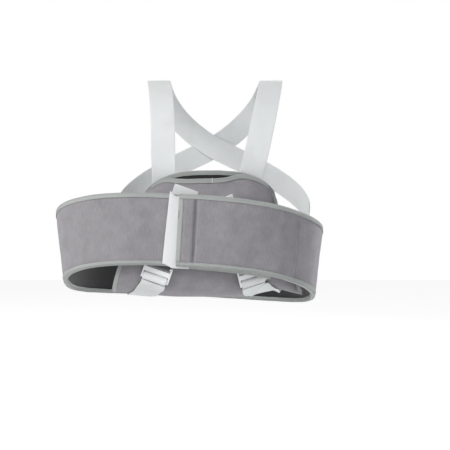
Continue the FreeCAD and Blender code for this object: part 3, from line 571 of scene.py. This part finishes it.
def stitches(name, rows, material, body):
    """Every row of stitches of one part, as one piece."""
    points, faces, uvs = [], [], []
    for spindle in (s for row in rows for s in row):
        base = len(points)
        for r, ring in enumerate(spindle):
            points.extend(ring)
            uvs.extend((k * 0.3, r * 0.8) for k in range(6))
        for r in range(len(spindle) - 1):
            for k in range(6):
                n = (k + 1) % 6
                a = base + r * 6
                faces.append((a + k, a + n, a + 6 + n, a + 6 + k))
        faces.append(tuple(base + k for k in reversed(range(6))))
        faces.append(tuple(base + (len(spindle) - 1) * 6 + k for k in range(6)))
    piece = finish_piece(name, points, faces, uvs, material)
    if body:
        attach(piece, body)
    return piece


def outward_of(point_at, along, across):
    """The outward normal where point_at(along, across, out) is a surface."""
    base = point_at(along, across, 0.0)
    return (point_at(along, across, 1.0) - base).normalized()


def surface_row(point_at, stops, across, lift):
    """A path for stitches along a surface, lifted off it."""
    return [(point_at(s, across, lift), outward_of(point_at, s, across)) for s in stops]


# ---------------------------------------------------------------- swathe and flap

def swathe_relief(run, height):
    """The pad is never quite flat: broad waves, small dents, puckers by the stitching."""
    edge = math.exp(-(((HALF - abs(height)) / 9.0) ** 2))
    broad = 0.75 * cloudy(run, height, 62.0, 1) + 0.35 * cloudy(run, height * 1.4, 24.0, 2)
    pucker = 0.32 * edge * math.sin(run * 0.72 + 2.2 * cloudy(run, 0.0, 25.0, 3))
    return broad * (1.0 - 0.6 * edge) + pucker


def run_lengths(angles, point_at):
    total, runs = 0.0, []
    before = None
    for angle in angles:
        here = point_at(angle, 0.0, 0.0)
        total += (here - before).length if before else 0.0
        runs.append(total)
        before = here
    return runs


def pad_loops(angles, point_at, profile, relief_share):
    loops = []
    for angle, run in zip(angles, run_lengths(angles, point_at)):
        loops.append([
            point_at(angle, h, out + relief_share * swathe_relief(run, h) * (1.0 if out > -3.0 else 0.5))
            for h, out in profile
        ])
    return loops


def edge_tape_loops(angles, point_at, direction):
    loops = []
    profile = tape_profile(PAD, pinch=0.9)
    for angle, run in zip(angles, run_lengths(angles, point_at)):
        waver = 0.35 * cloudy(run, direction * 40.0, 16.0, 5)
        lift = 0.5 * swathe_relief(run, direction * HALF)
        loops.append([
            point_at(angle, direction * (HALF + e - waver), -d + lift) for e, d in profile
        ])
    return loops


root_angles = spread(HINGE_ANGLE, ROOT_END, 380)
outer_profile = slab_profile(HALF, 0.0, -LAMINATE, -1.0, 1.1)
lining_profile = slab_profile(HALF, -LAMINATE - SKIN_GAP, -PAD, 1.0, 1.1)

swathe = loft("swathe_pad", pad_loops(root_angles, root_point, outer_profile, 1.0), GREY)
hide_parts("swathe_body")
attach(swathe, "sling")

lining = loft("swathe_inner_face", pad_loops(root_angles, root_point, lining_profile, 1.0), BLACK)
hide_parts("swathe_lining")
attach(lining, "sling")

for direction, word in ((1, "top"), (-1, "bottom")):
    tape = loft("swathe_" + word + "_tape", edge_tape_loops(root_angles, root_point, direction), TAPE)
    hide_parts("swathe_" + word + "_binding")
    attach(tape, "sling")

seam_height = HALF - TAPE_WIDTH + 1.5
seams = [stitch_row(surface_row(root_point, root_angles, side * seam_height, 0.62)) for side in (-1, 1)]
stitches("swathe_seam_stitches", seams, THREAD, "sling")


def end_tape_loops(point_at, end, inward, lean):
    loops = []
    for height in spread(-HALF + TAPE_WIDTH + 0.2, HALF - TAPE_WIDTH - 0.2, 40):
        along = end + lean * height / HALF
        waver = 0.3 * cloudy(height, 3.0, 14.0, 6)
        loops.append([
            point_at(along - inward * (e - waver), height, -d) for e, d in tape_profile(PAD, pinch=0.7)
        ])
    return loops


inner_tape = loft("swathe_inner_end_tape", end_tape_loops(root_at_x, INNER_END_X, -1, 0.0), TAPE)
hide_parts("swathe_inner_end_binding")
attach(inner_tape, "sling")


def flap_spot(share, height, out):
    """A point of the flap; share runs from the hinge at 0 to the slanted end at 1."""
    angle = HINGE_ANGLE + (front_angle(FLAP_END_X) - HINGE_ANGLE) * share
    x = oval(angle)[0]
    shift = FLAP_END_LEAN * smooth((40.0 - x) / (40.0 - FLAP_END_X))
    return flap_at_x(x + shift * height / HALF, height, out)


def flap_relief(x_from_end, run, height):
    """Broad waves, a puffed hem by the end and the sewn crease beside it."""
    crease = 3.0 * math.exp(-(((x_from_end - HEM_CREASE) / 2.0) ** 2))
    hem = 1.5 * smooth((x_from_end - 4.0) / 8.0) * smooth((HEM_CREASE - x_from_end) / 7.0)
    beyond = 0.45 * math.exp(-(((x_from_end - HEM_CREASE - 9.0) / 8.0) ** 2))
    inside = smooth((HALF - abs(height) - 5.0) / 5.0)
    return swathe_relief(run + 300.0, height) + (hem + beyond - crease) * inside


flap_shares = spread(0.0, 1.0, 190)
flap_run = (flap_at_x(HINGE_X, 0, 0) - flap_at_x(FLAP_END_X, 0, 0)).length


def flap_loops(shares, profile, relief_share):
    loops = []
    for share in shares:
        row = []
        for h, out in profile:
            spot = flap_spot(share, h, 0.0)
            from_end = spot.x - (FLAP_END_X + FLAP_END_LEAN * h / HALF)
            side = 1.0 if out > -LAMINATE / 2 else 0.35
            relief = relief_share * side * flap_relief(from_end, share * flap_run, h)
            row.append(flap_spot(share, h, out + relief))
        loops.append(row)
    return loops


def on_flap(piece):
    """Bakes the piece's placement into its mesh; the flap's cloth is not bent where it leaves the swathe."""
    start = flap_at_x(HINGE_X, 0, 0) * MM
    end = flap_at_x(HINGE_X - FLAP_BLEND, 0, 0) * MM
    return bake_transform(piece)


flap = loft("flap_pad", flap_loops(flap_shares, outer_profile, 1.0), GREY)
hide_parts("flap_panel")
on_flap(flap)
flap_inside = loft("flap_inner_face", flap_loops(flap_shares[::2], lining_profile, 0.0), BLACK)
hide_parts("flap_lining")
on_flap(flap_inside)
for direction, word in ((1, "top"), (-1, "bottom")):
    tape = loft("flap_" + word + "_tape", edge_tape_loops(flap_shares, flap_spot, direction), TAPE)
    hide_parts("flap_" + word + "_binding")
    on_flap(tape)
end_tape = loft("flap_end_tape", end_tape_loops(flap_at_x, FLAP_END_X, 1, FLAP_END_LEAN), TAPE)
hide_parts("flap_end_binding")
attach(end_tape, "flap")


def upright_row(x, lift):
    stops = spread(-HALF + TAPE_WIDTH + 1.0, HALF - TAPE_WIDTH - 1.0, 60)
    path = []
    for height in stops:
        at = x + FLAP_END_LEAN * height / HALF
        outward = (flap_at_x(at, height, 1.0) - flap_at_x(at, height, 0.0)).normalized()
        path.append((flap_at_x(at, height, lift), outward))
    return path


flap_rows = [
    stitch_row(surface_row(flap_spot, flap_shares[2:], side * seam_height, 0.62)) for side in (-1, 1)
]
flap_rows.append(stitch_row(upright_row(FLAP_END_X + TAPE_WIDTH - 1.4, 0.72)))
flap_rows.append(stitch_row(upright_row(FLAP_END_X + HEM_CREASE, -0.9)))
on_flap(stitches("flap_seam_stitches", flap_rows, THREAD, None))


def hook_loops():
    loops = []
    top = -PAD - TAPE_PROUD - TAPE_GAP
    for x in spread(HOOK_START_X, HOOK_END_X, 40):
        corner = 1.0 - smooth((x - HOOK_START_X) / 15.0)
        low = -HALF - 3.8 + 6.4 * corner
        high = HALF - TAPE_WIDTH / 2 + (3.8 + TAPE_WIDTH / 2) * corner
        lean = HOOK_LEAN + (FLAP_END_LEAN - HOOK_LEAN) * (1.0 - corner)
        row = []
        for h in spread(low, high, 30):
            curl = 0.35 * cloudy(x, h, 22.0, 9)
            row.append(flap_at_x(x + lean * h / HALF, h, top + curl))
        for h in spread(high, low, 30):
            curl = 0.35 * cloudy(x, h, 22.0, 9)
            row.append(flap_at_x(x + lean * h / HALF, h, top - HOOK_THICKNESS + curl))
        loops.append(row)
    return loops


hook = loft("hook_strip", hook_loops(), HOOKS)
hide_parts("flap_hook_strip")
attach(hook, "flap")


# ---------------------------------------------------------------- pouch

def pouch_relief(x, z, turn):
    """Soft creases where the arm fills the pouch and gathers by the mouth."""
    broad = 1.0 * cloudy(x, z, 46.0, 11) + 0.4 * cloudy(x, z * 1.6, 17.0, 12)
    mouth = smooth((turn - 2.1) / 0.9) * (1.0 - smooth((turn - 2.9) / 0.1))
    gather = 0.9 * mouth * cloudy(x * 1.9, z * 0.35, 20.0, 13)
    return 0.55 * broad + gather


def panel_loops(point_at, shares, steps, outer, inner, relief):
    loops = []
    for share in shares:
        row = []
        for depth, order in ((outer, steps), (inner, steps[::-1])):
            for step in order:
                spot = point_at(share, step, depth)
                edge = smooth(min(share, 1.0 - share) / 0.05)
                row.append(spot + Vec((0, -relief(spot.x, spot.z, step) * edge, 0)))
        loops.append(row)
    return loops


shares = [EDGE_SHARE + (1 - 2 * EDGE_SHARE) * (0.5 - 0.5 * math.cos(math.pi * i / 129)) for i in range(130)]
turns = spread(0.0, 1.0, 22)[:-1] + spread(1.0, 2.0, 22)[:-1] + spread(2.0, 3.0, 34)


def front_relief(x, z, turn):
    return pouch_relief(x, z, turn) * smooth(turn / 0.3) * smooth((3.0 - turn) / 0.15)


def back_relief(x, z, height):
    return 0.4 * cloudy(x, z, 40.0, 15) * smooth(height / 0.1) * smooth((1.0 - height) / 0.08)


front = loft(
    "pouch_front_pad", panel_loops(pouch_front_point, shares, turns, 0.0, POUCH_PANEL, front_relief), GREY
)
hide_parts("pouch_front_panel")
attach(front, "sling")
front_inside = loft(
    "pouch_front_inner_face",
    panel_loops(
        pouch_front_point, shares[::2] + shares[-1:], turns, POUCH_PANEL + SKIN_GAP, POUCH_WALL, front_relief
    ),
    BLACK,
)
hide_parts("pouch_front_lining")
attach(front_inside, "sling")
heights = spread(0.0, 1.0, 46)
back = loft(
    "pouch_back_pad", panel_loops(back_panel_point, shares, heights, 0.0, POUCH_PANEL, back_relief), GREY
)
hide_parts("pouch_back_panel")
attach(back, "sling")
back_inside = loft(
    "pouch_back_inner_face",
    panel_loops(back_panel_point, shares, heights, POUCH_PANEL + SKIN_GAP, POUCH_WALL, back_relief),
    BLACK,
)
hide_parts("pouch_back_lining")
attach(back_inside, "sling")


def mouth_tape(name, node, top, face, ease):
    profile = tape_profile(POUCH_WALL + 1.5 * ease)
    loops = []
    for share in [0.046 + 0.908 * (0.5 - 0.5 * math.cos(math.pi * i / 99)) for i in range(100)]:
        edge = top(share)
        waver = 0.4 * cloudy(share * 300.0, len(name), 18.0, 17)
        loops.append([face(share, edge + e + waver, d - ease / 2) for e, d in profile])
    piece = loft(name, loops, TAPE)
    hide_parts(node)
    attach(piece, "sling")


mouth_tape("pouch_front_mouth_tape", "front_mouth_binding", front_top_z, front_face, TAPE_EASE)
mouth_tape("pouch_back_mouth_tape", "back_mouth_binding", back_top_z, back_face, 0.0)


def side_tape(name, node, point_at, steps, ease):
    loops = []
    for step in steps:
        loops.append([
            point_at(EDGE_SHARE - e / POUCH_SPAN, step, d) for e, d in tape_profile(POUCH_WALL + ease)
        ])
    piece = loft(name, loops, TAPE)
    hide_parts(node)
    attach(piece, "sling")


front_steps = spread(0.2, 2.8, 60)
side_tape("pouch_front_elbow_tape", "front_elbow_binding", pouch_front_point, front_steps, TAPE_EASE)
side_tape("pouch_back_elbow_tape", "back_elbow_binding", back_panel_point, spread(0.04, 0.875, 50), 0.0)

hand_loops = []
for height in spread(0.03, 0.93, 60):
    seam = 1.0 - EDGE_SHARE - TAPE_WIDTH / POUCH_SPAN
    inside = back_panel_point(seam, height, 0.0)
    profile = tape_profile(2 * POUCH_WALL + PANEL_GAP + pouch_cavity(inside.x, inside.z, seam))
    hand_loops.append([
        back_panel_point(1.0 - EDGE_SHARE + e / POUCH_SPAN, height, d) for e, d in profile
    ])
hand = loft("pouch_hand_end_tape", hand_loops, TAPE)
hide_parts("hand_end_binding")
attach(hand, "sling")

mouth_rows = []
for top, face, lift in ((front_top_z, front_face, -TAPE_PROUD - 0.05),):
    path = [(face(s, top(s) - TAPE_WIDTH + 1.3, lift), Vec((0, -1, 0))) for s in spread(0.06, 0.94, 120)]
    mouth_rows.append(stitch_row(path))
stitches("pouch_mouth_stitches", mouth_rows, THREAD, "sling")

tack_share = 0.5 + 5.0 / (POUCH_RIGHT_TOP_X - POUCH_LEFT_TOP_X)
tack_top = front_face(tack_share, front_top_z(tack_share) + 1.0, -TAPE_PROUD - 0.35)
tack_rows = []
for i in range(16):
    at = tack_top - Vec((0, 0, 0.42 * i + 0.3))
    ends = [(at + Vec((reach, 0, 0)), Vec((0, -1, 0))) for reach in (-0.9, 0.9)]
    tack_rows.append(stitch_row(ends, 9.0, 1.9, 0.3))
tack = stitches("mouth_tack", tack_rows, WHITE_THREAD, "sling")
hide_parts("mouth_bar_tack")


# ---------------------------------------------------------------- webbing and adjusters

def turned_in_plan(vector, plan):
    p = math.radians(plan)
    x = vector.x * math.cos(p) - vector.y * math.sin(p)
    return Vec((x, vector.x * math.sin(p) + vector.y * math.cos(p), vector.z))


def buckle_axes(side):
    a, lean, plan = math.radians(BUCKLES[side]["turn"]), math.radians(BUCKLE_LEAN), BUCKLES[side]["plan"]
    along = turned_in_plan(Vec((math.cos(a), 0, -math.sin(a))), plan)
    up = Vec((math.sin(a) * math.cos(lean), -math.sin(lean), math.cos(a) * math.cos(lean)))
    up = turned_in_plan(up, plan)
    return along, up, along.cross(up)


def natural_spline(points, reaches):
    """A smooth curve through points, as a function from reach to (place, run)."""
    n = len(points)
    lower, middle, upper = [0.0] * n, [1.0] * n, [0.0] * n
    right = [Vec((0, 0, 0)) for _ in range(n)]
    gaps = [reaches[i + 1] - reaches[i] for i in range(n - 1)]
    for i in range(1, n - 1):
        lower[i], upper[i] = gaps[i - 1], gaps[i]
        middle[i] = 2.0 * (gaps[i - 1] + gaps[i])
        right[i] = 6.0 * ((points[i + 1] - points[i]) / gaps[i] - (points[i] - points[i - 1]) / gaps[i - 1])
    for i in range(1, n):
        factor = lower[i] / middle[i - 1]
        middle[i] -= factor * upper[i - 1]
        right[i] = right[i] - factor * right[i - 1]
    bend = [Vec((0, 0, 0)) for _ in range(n)]
    bend[-1] = right[-1] / middle[-1]
    for i in range(n - 2, -1, -1):
        bend[i] = (right[i] - upper[i] * bend[i + 1]) / middle[i]

    def at(reach):
        i = max(k for k in range(n - 1) if reaches[k] <= reach + 1e-9)
        h, t = gaps[i], reach - reaches[i]
        first = (points[i + 1] - points[i]) / h - h * (2.0 * bend[i] + bend[i + 1]) / 6.0
        place = points[i] + first * t + bend[i] * (t * t / 2.0)
        place = place + (bend[i + 1] - bend[i]) * (t ** 3 / (6.0 * h))
        run = first + bend[i] * t + (bend[i + 1] - bend[i]) * (t * t / (2.0 * h))
        return place, run.normalized()

    return at


def web_profile(width, thickness, count=19):
    """Webbing's outline as (across, out): flat faces, rounded selvedges."""
    half, lift = width / 2, thickness / 2
    points = [
        (half * math.sin(math.pi / 2 * u), lift * (1.0 - abs(u) ** 14)) for u in spread(-1.0, 1.0, count)
    ]
    return points + [(a, -b) for a, b in reversed(points[1:-1])]


def ribbon(name, frames, width, thickness, material, seed):
    """Webbing through frames, each a centre, the way across and the way out."""
    profile = web_profile(width, thickness)
    loops, run, before = [], 0.0, None
    for centre, across, out in frames:
        run += (centre - before).length if before else 0.0
        before = centre
        loops.append([
            centre + across * a + out * (b + 0.25 * cloudy(run, a, 30.0, seed)) for a, b in profile
        ])
    return loft(name, loops, material)


def share_at(x, turn):
    share = (x - POUCH_LEFT_BOTTOM_X) / POUCH_SPAN
    for _ in range(6):
        share += (x - pouch_front_point(share, turn, 0.0).x) / POUCH_SPAN
    return share


def front_normal(share, turn):
    across = pouch_front_point(share + 0.01, turn, 0.0) - pouch_front_point(share - 0.01, turn, 0.0)
    upward = pouch_front_point(share, turn + 0.02, 0.0) - pouch_front_point(share, turn - 0.02, 0.0)
    return across.cross(upward).normalized()


def on_pouch_back(x, z):
    """Where webbing lies on the pouch's torso side, and the way its face looks."""
    across = pouch_back_y(x + 1.0, z) - pouch_back_y(x - 1.0, z)
    upward = pouch_back_y(x, z + 1.0) - pouch_back_y(x, z - 1.0)
    normal = Vec((-across / 2, 1.0, -upward / 2)).normalized()
    return Vec((x, pouch_back_y(x, z), z)) + normal * STRAP_LANDING_OFF, normal


def strap_under_pouch(side, slant, front_run):
    """Stations from below a buckle, down the pouch's front, round its fold and up its back."""
    _, up, out = buckle_axes(side)
    turn = BUCKLES[side]["turn"]
    end = BUCKLES[side]["at"] + up * (LOWER_BAR[0] - 4.9) + out * -4.0
    previous = end - up * STRAP_TURN - out * 2.4
    stations = [(end, out), (previous, (out - up).normalized())]
    x = previous.x
    for i, step in enumerate(front_run):
        lean = -turn + (slant + turn) * i / len(front_run)
        here = pouch_front_point(share_at(x, step), step, 0.0)
        x += math.tan(math.radians(lean)) * (here - previous).length
        share = share_at(x, step)
        normal = front_normal(share, step)
        previous = pouch_front_point(share, step, 0.0)
        stations.append((previous + normal * STRAP_LIFT_OFF, normal))
    slope = math.tan(math.radians(slant))
    x += slope * 2 * POUCH_WALL
    fold = pouch_bottom_z(x)
    rear = pouch_back_y(x, fold)
    tilt = (pouch_bottom_z(x + 1.0) - pouch_bottom_z(x - 1.0)) / 2
    under = Vec((x, rear - POUCH_WALL / 2, fold - STRAP_FOLD_OFF))
    stations.append((under, Vec((tilt, 0, -1)).normalized()))
    x += slope * POUCH_WALL
    spot, normal = on_pouch_back(x, fold + 3.0)
    stations.append((spot, (normal + Vec((0, 0, -0.3))).normalized()))
    for z in (-34.0, -14.0):
        x += slope * (z - fold)
        fold = z
        stations.append(on_pouch_back(x, z))
    return stations


def shoulder_stations(over, landing, side, slant, front_run, crossing_y):
    way = 1.0 if side == "right" else -1.0
    stations = strap_under_pouch(side, slant, front_run)
    for angle in (-30.0, -12.0, 10.0, 32.0, 52.0, 71.0, 90.0):
        a = math.radians(angle)
        height = 24.0 + 164.0 * (angle + 30.0) / 120.0
        centre = Vec((way * 160.0 * math.cos(a), crossing_y * math.sin(a), height))
        stations.append((centre, Vec((-way * math.cos(a) / 160.0, -math.sin(a) / 114.0, 0)).normalized()))
    for x, y, z, face_y, face_z in over:
        stations.append((Vec((-way * x, y, z)), Vec((0, -face_y, -face_z)).normalized()))
    stations += [on_pouch_back(-way * x, z) for x, z in zip(landing, LANDING_HEIGHTS)]
    return stations


def shoulder_strap(name, node, over, landing, side, slant, front_run, crossing_y):
    stations = shoulder_stations(over, landing, side, slant, front_run, crossing_y)
    reaches = [0.0]
    for (a, _), (b, _) in zip(stations, stations[1:]):
        reaches.append(reaches[-1] + (b - a).length)
    curve = natural_spline([centre for centre, _ in stations], reaches)
    first_run = buckle_axes(side)[1] * -1.0
    frames = []
    for i in range(len(stations) - 1):
        count = max(2, round((reaches[i + 1] - reaches[i]) / 3.0))
        for k in range(count + (i == len(stations) - 2)):
            share = k / count
            centre, run = curve(reaches[i] + (reaches[i + 1] - reaches[i]) * share)
            if not frames:
                run = first_run
            face = stations[i][1].lerp(stations[i + 1][1], share)
            across = run.cross(face).normalized()
            frames.append((centre, across, across.cross(run).normalized()))
    piece = ribbon(name, frames, WEB_WIDTH, WEB, WHITE_WEB, 21)
    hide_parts(node)
    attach(piece, "sling")
    return frames


LEFT_OVER = [
    (47.0, 107.0, 222.0, 1.0, 0.25), (74.0, 84.0, 254.0, 0.9, 0.6), (86.0, 50.0, 278.0, 0.5, 1.0),
    (89.0, 8.0, 290.0, 0.1, 1.0), (87.0, -35.0, 285.0, -0.35, 1.0), (83.0, -72.0, 264.0, -0.8, 0.8),
    (79.5, -99.0, 233.0, -1.0, 0.45), (77.5, -115.0, 200.0, -1.0, 0.2), (76.8, -123.0, 168.0, -1.0, 0.1),
]
RIGHT_OVER = [
    (47.0, 107.0, 222.0, 1.0, 0.25), (76.0, 84.0, 254.0, 0.9, 0.6), (90.0, 50.0, 278.0, 0.5, 1.0),
    (96.0, 8.0, 290.0, 0.1, 1.0), (95.0, -35.0, 285.0, -0.35, 1.0), (90.5, -72.0, 264.0, -0.8, 0.8),
    (84.0, -99.0, 233.0, -1.0, 0.45), (77.0, -115.0, 200.0, -1.0, 0.2), (70.0, -124.0, 168.0, -1.0, 0.1),
]
strap_ends = [
    shoulder_strap(
        "left_strap_webbing", "left_shoulder_strap", LEFT_OVER, (76.3, 76.1, 76.0),
        "right", 33.0, (0.36, 0.22, 0.08), 115.5,
    ),
    shoulder_strap(
        "right_strap_webbing", "right_shoulder_strap", RIGHT_OVER, (63.0, 59.5, 56.0),
        "left", -20.0, (0.48, 0.36, 0.22, 0.08), 120.5,
    ),
]


def box_of_stitches(frames, near, far):
    """The sewn box that holds a strap to the pouch's back panel."""
    rows = []
    for edge in (-14.0, 14.0):
        rows.append(stitch_row([(c + a * edge + o * 0.75, o) for c, a, o in frames[near:far]]))
    for i in (near, far - 1):
        c, a, o = frames[i]
        rows.append(stitch_row([(c + a * e + o * 0.75, o) for e in (-14.0, 14.0)]))
    return rows


sewn = [row for frames in strap_ends for row in box_of_stitches(frames, len(frames) - 9, len(frames) - 1)]
stitches("strap_box_stitches", sewn, WHITE_THREAD, "sling")

FRONT_OF_BAR = BAR_HALF_THICKNESS + 0.15 + WEB / 2
LOOP_PATH = [
    (LOWER_BAR[0] - 3.5, -3.0), (LOWER_BAR[0] - 1.9, -1.7), (LOWER_BAR[0] - 1.2, 0.4),
    (LOWER_BAR[0] - 0.6, 1.8), (LOWER_BAR[0] + 0.8, FRONT_OF_BAR + 0.1),
    (LOWER_BAR[1] - 0.6, FRONT_OF_BAR + 0.1), (LOWER_BAR[1] + 1.0, 1.3), (LOWER_BAR[1] + 1.7, -0.4),
    (TOOTHED_BAR[0] - 0.6, -FRONT_OF_BAR - 0.1), (TOOTHED_BAR[0] + 2.0, -FRONT_OF_BAR),
    (TOOTHED_BAR[1], -FRONT_OF_BAR - 0.2), (-2.8, -4.1), (-1.0, -4.3),
]


def chape_path():
    """From the swathe's lower edge down, round the top bar and up again."""
    radius = TOP_BAR_RADIUS + 0.4 + 0.6
    slope = -math.tan(math.radians(BUCKLE_LEAN))
    path = [(rise, radius + slope * rise) for rise in (CHAPE_LENGTH, 14.0)]
    path.append((5.0, radius + slope * 3.0))
    for degrees in spread(75.0, 285.0, 12):
        a = math.radians(degrees)
        path.append((radius * math.cos(a), radius * math.sin(a)))
    path += [(3.2, -radius + 0.6), (7.0, radius - 2.6 + slope * 5.0)]
    path.append((CHAPE_LENGTH, radius - 1.3 + slope * CHAPE_LENGTH))
    return path


def path_ribbon(name, node, side, path, width, thickness, material, body, seed):
    along, up, out = buckle_axes(side)
    at = BUCKLES[side]["at"]
    flat = [Vec((0.0, u, o)) for u, o in path]
    reaches = [0.0]
    for a, b in zip(flat, flat[1:]):
        reaches.append(reaches[-1] + (b - a).length)
    curve = natural_spline(flat, reaches)
    frames = []
    for reach in spread(0.0, reaches[-1], 60):
        spot, run = curve(reach)
        centre = at + up * spot.y + out * spot.z
        frames.append((centre, along, (out * run.y - up * run.z).normalized()))
    piece = ribbon(name, frames, width, thickness, material, seed)
    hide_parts(node)
    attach(piece, body)
    return frames


def tail_frames(side):
    _, up, out = buckle_axes(side)
    start = BUCKLES[side]["at"] + up * 3.0 + out * -4.4
    a, p = math.radians(TAILS[side]["turn"]), math.radians(TAILS[side]["plan"])
    across = Vec((math.cos(a) * math.cos(p), math.cos(a) * math.sin(p), -math.sin(a)))
    outward = Vec((math.sin(p), -math.cos(p), 0))
    rising = outward.cross(across)
    frames = []
    for reach in spread(0.0, TAILS[side]["length"], 50):
        frames.append((start + rising * reach, across, outward))
    return frames


for side in ("left", "right"):
    # Each chape tab takes the near-black cloth, painted shade for the dark band below the swathe's edge.
    path_ribbon(
        side + "_chape_cloth", side + "_buckle_chape", side, chape_path(), CHAPE_WIDTH,
        CHAPE_CLOTH_THICK, CHAPE_PAINTED_SHADE, "sling", 23,
    )
    path_ribbon(
        side + "_loop_webbing", side + "_strap_loop", side, LOOP_PATH, WEB_WIDTH - 0.6, WEB - 0.1,
        WHITE_WEB, side + "_buckle", 25,
    )
    tail = tail_frames(side)
    piece = ribbon(side + "_tail_webbing", tail, WEB_WIDTH, WEB, WHITE_WEB, 27)
    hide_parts(side + "_strap_tail")
    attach(piece, side + "_tail")
    hem = [(c + a * e + o * 0.72, o) for c, a, o in tail[-4:-3] for e in spread(-17.0, 17.0, 12)]
    stitches(side + "_tail_hem_stitches", [stitch_row(hem)], WHITE_THREAD, side + "_tail")
    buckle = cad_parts[side + "_buckle_frame"]
    buckle.data.materials.clear()
    buckle.data.materials.append(PLASTIC)
    for polygon in buckle.data.polygons:
        polygon.use_smooth = False

# ---------------------------------------------------------------- camera, floor and light

scene = bpy.context.scene
camera = bpy.data.objects.new("camera", bpy.data.cameras.new("camera"))
scene.collection.objects.link(camera)
camera.location = (0.020, -2.105, 0.052)
camera.rotation_euler = (math.radians(90), 0, 0)
camera.data.sensor_width = 36.0
camera.data.lens = 101.4
scene.camera = camera

floor_mesh = bpy.data.meshes.new("floor")
floor_corners = [(x, y, FLOOR_Z) for x, y in ((-6, -4), (6, -4), (6, 6), (-6, 6))]
floor_mesh.from_pydata(floor_corners, [], [(0, 1, 2, 3)])
floor = bpy.data.objects.new("floor", floor_mesh)
scene.collection.objects.link(floor)
floor_paint, floor_tree, floor_shader = node_tree("pale_floor")
floor_shader.inputs["Base Color"].default_value = (0.92, 0.92, 0.92, 1.0)
floor_shader.inputs["Roughness"].default_value = 0.9
floor_shader.inputs["Emission Color"].default_value = (1.0, 1.0, 1.0, 1.0)
floor_glow = floor_tree.nodes.new("ShaderNodeMath")
floor_glow.operation = "MULTIPLY"
floor_glow.inputs[1].default_value = 0.62
floor_rays = floor_tree.nodes.new("ShaderNodeLightPath")
floor_tree.links.new(floor_rays.outputs["Is Camera Ray"], floor_glow.inputs[0])
floor_tree.links.new(floor_glow.outputs[0], floor_shader.inputs["Emission Strength"])
floor_mesh.materials.append(floor_paint)

world = bpy.data.worlds.new("studio")
scene.world = world
world.use_nodes = True
sky = world.node_tree.nodes["Background"]
rays = world.node_tree.nodes.new("ShaderNodeLightPath")
shown = world.node_tree.nodes.new("ShaderNodeMath")
shown.operation = "MULTIPLY_ADD"
shown.inputs[1].default_value = 0.66
shown.inputs[2].default_value = 0.34
world.node_tree.links.new(rays.outputs["Is Camera Ray"], shown.inputs[0])
world.node_tree.links.new(shown.outputs[0], sky.inputs["Strength"])
sky.inputs["Color"].default_value = (1.0, 1.0, 1.0, 1.0)


def area_light(name, place, target, size, power, colour):
    data = bpy.data.lights.new(name, "AREA")
    data.size = size
    data.energy = power
    data.color = colour
    lamp = bpy.data.objects.new(name, data)
    lamp.location = place
    lamp.rotation_euler = (Vec(target) - Vec(place)).to_track_quat("-Z", "Y").to_euler()
    scene.collection.objects.link(lamp)


area_light("key", (-1.5, -1.5, 1.2), (-0.02, -0.1, 0.05), 0.9, 42.0, (1.0, 0.99, 0.97))
area_light("fill", (1.4, -1.8, 0.5), (0.0, -0.1, 0.05), 1.4, 7.0, (0.95, 0.97, 1.0))
area_light("rim", (1.3, 0.9, 0.9), (0.1, 0.0, 0.05), 0.7, 20.0, (1.0, 1.0, 1.0))
scene.view_settings.view_transform = "Standard"
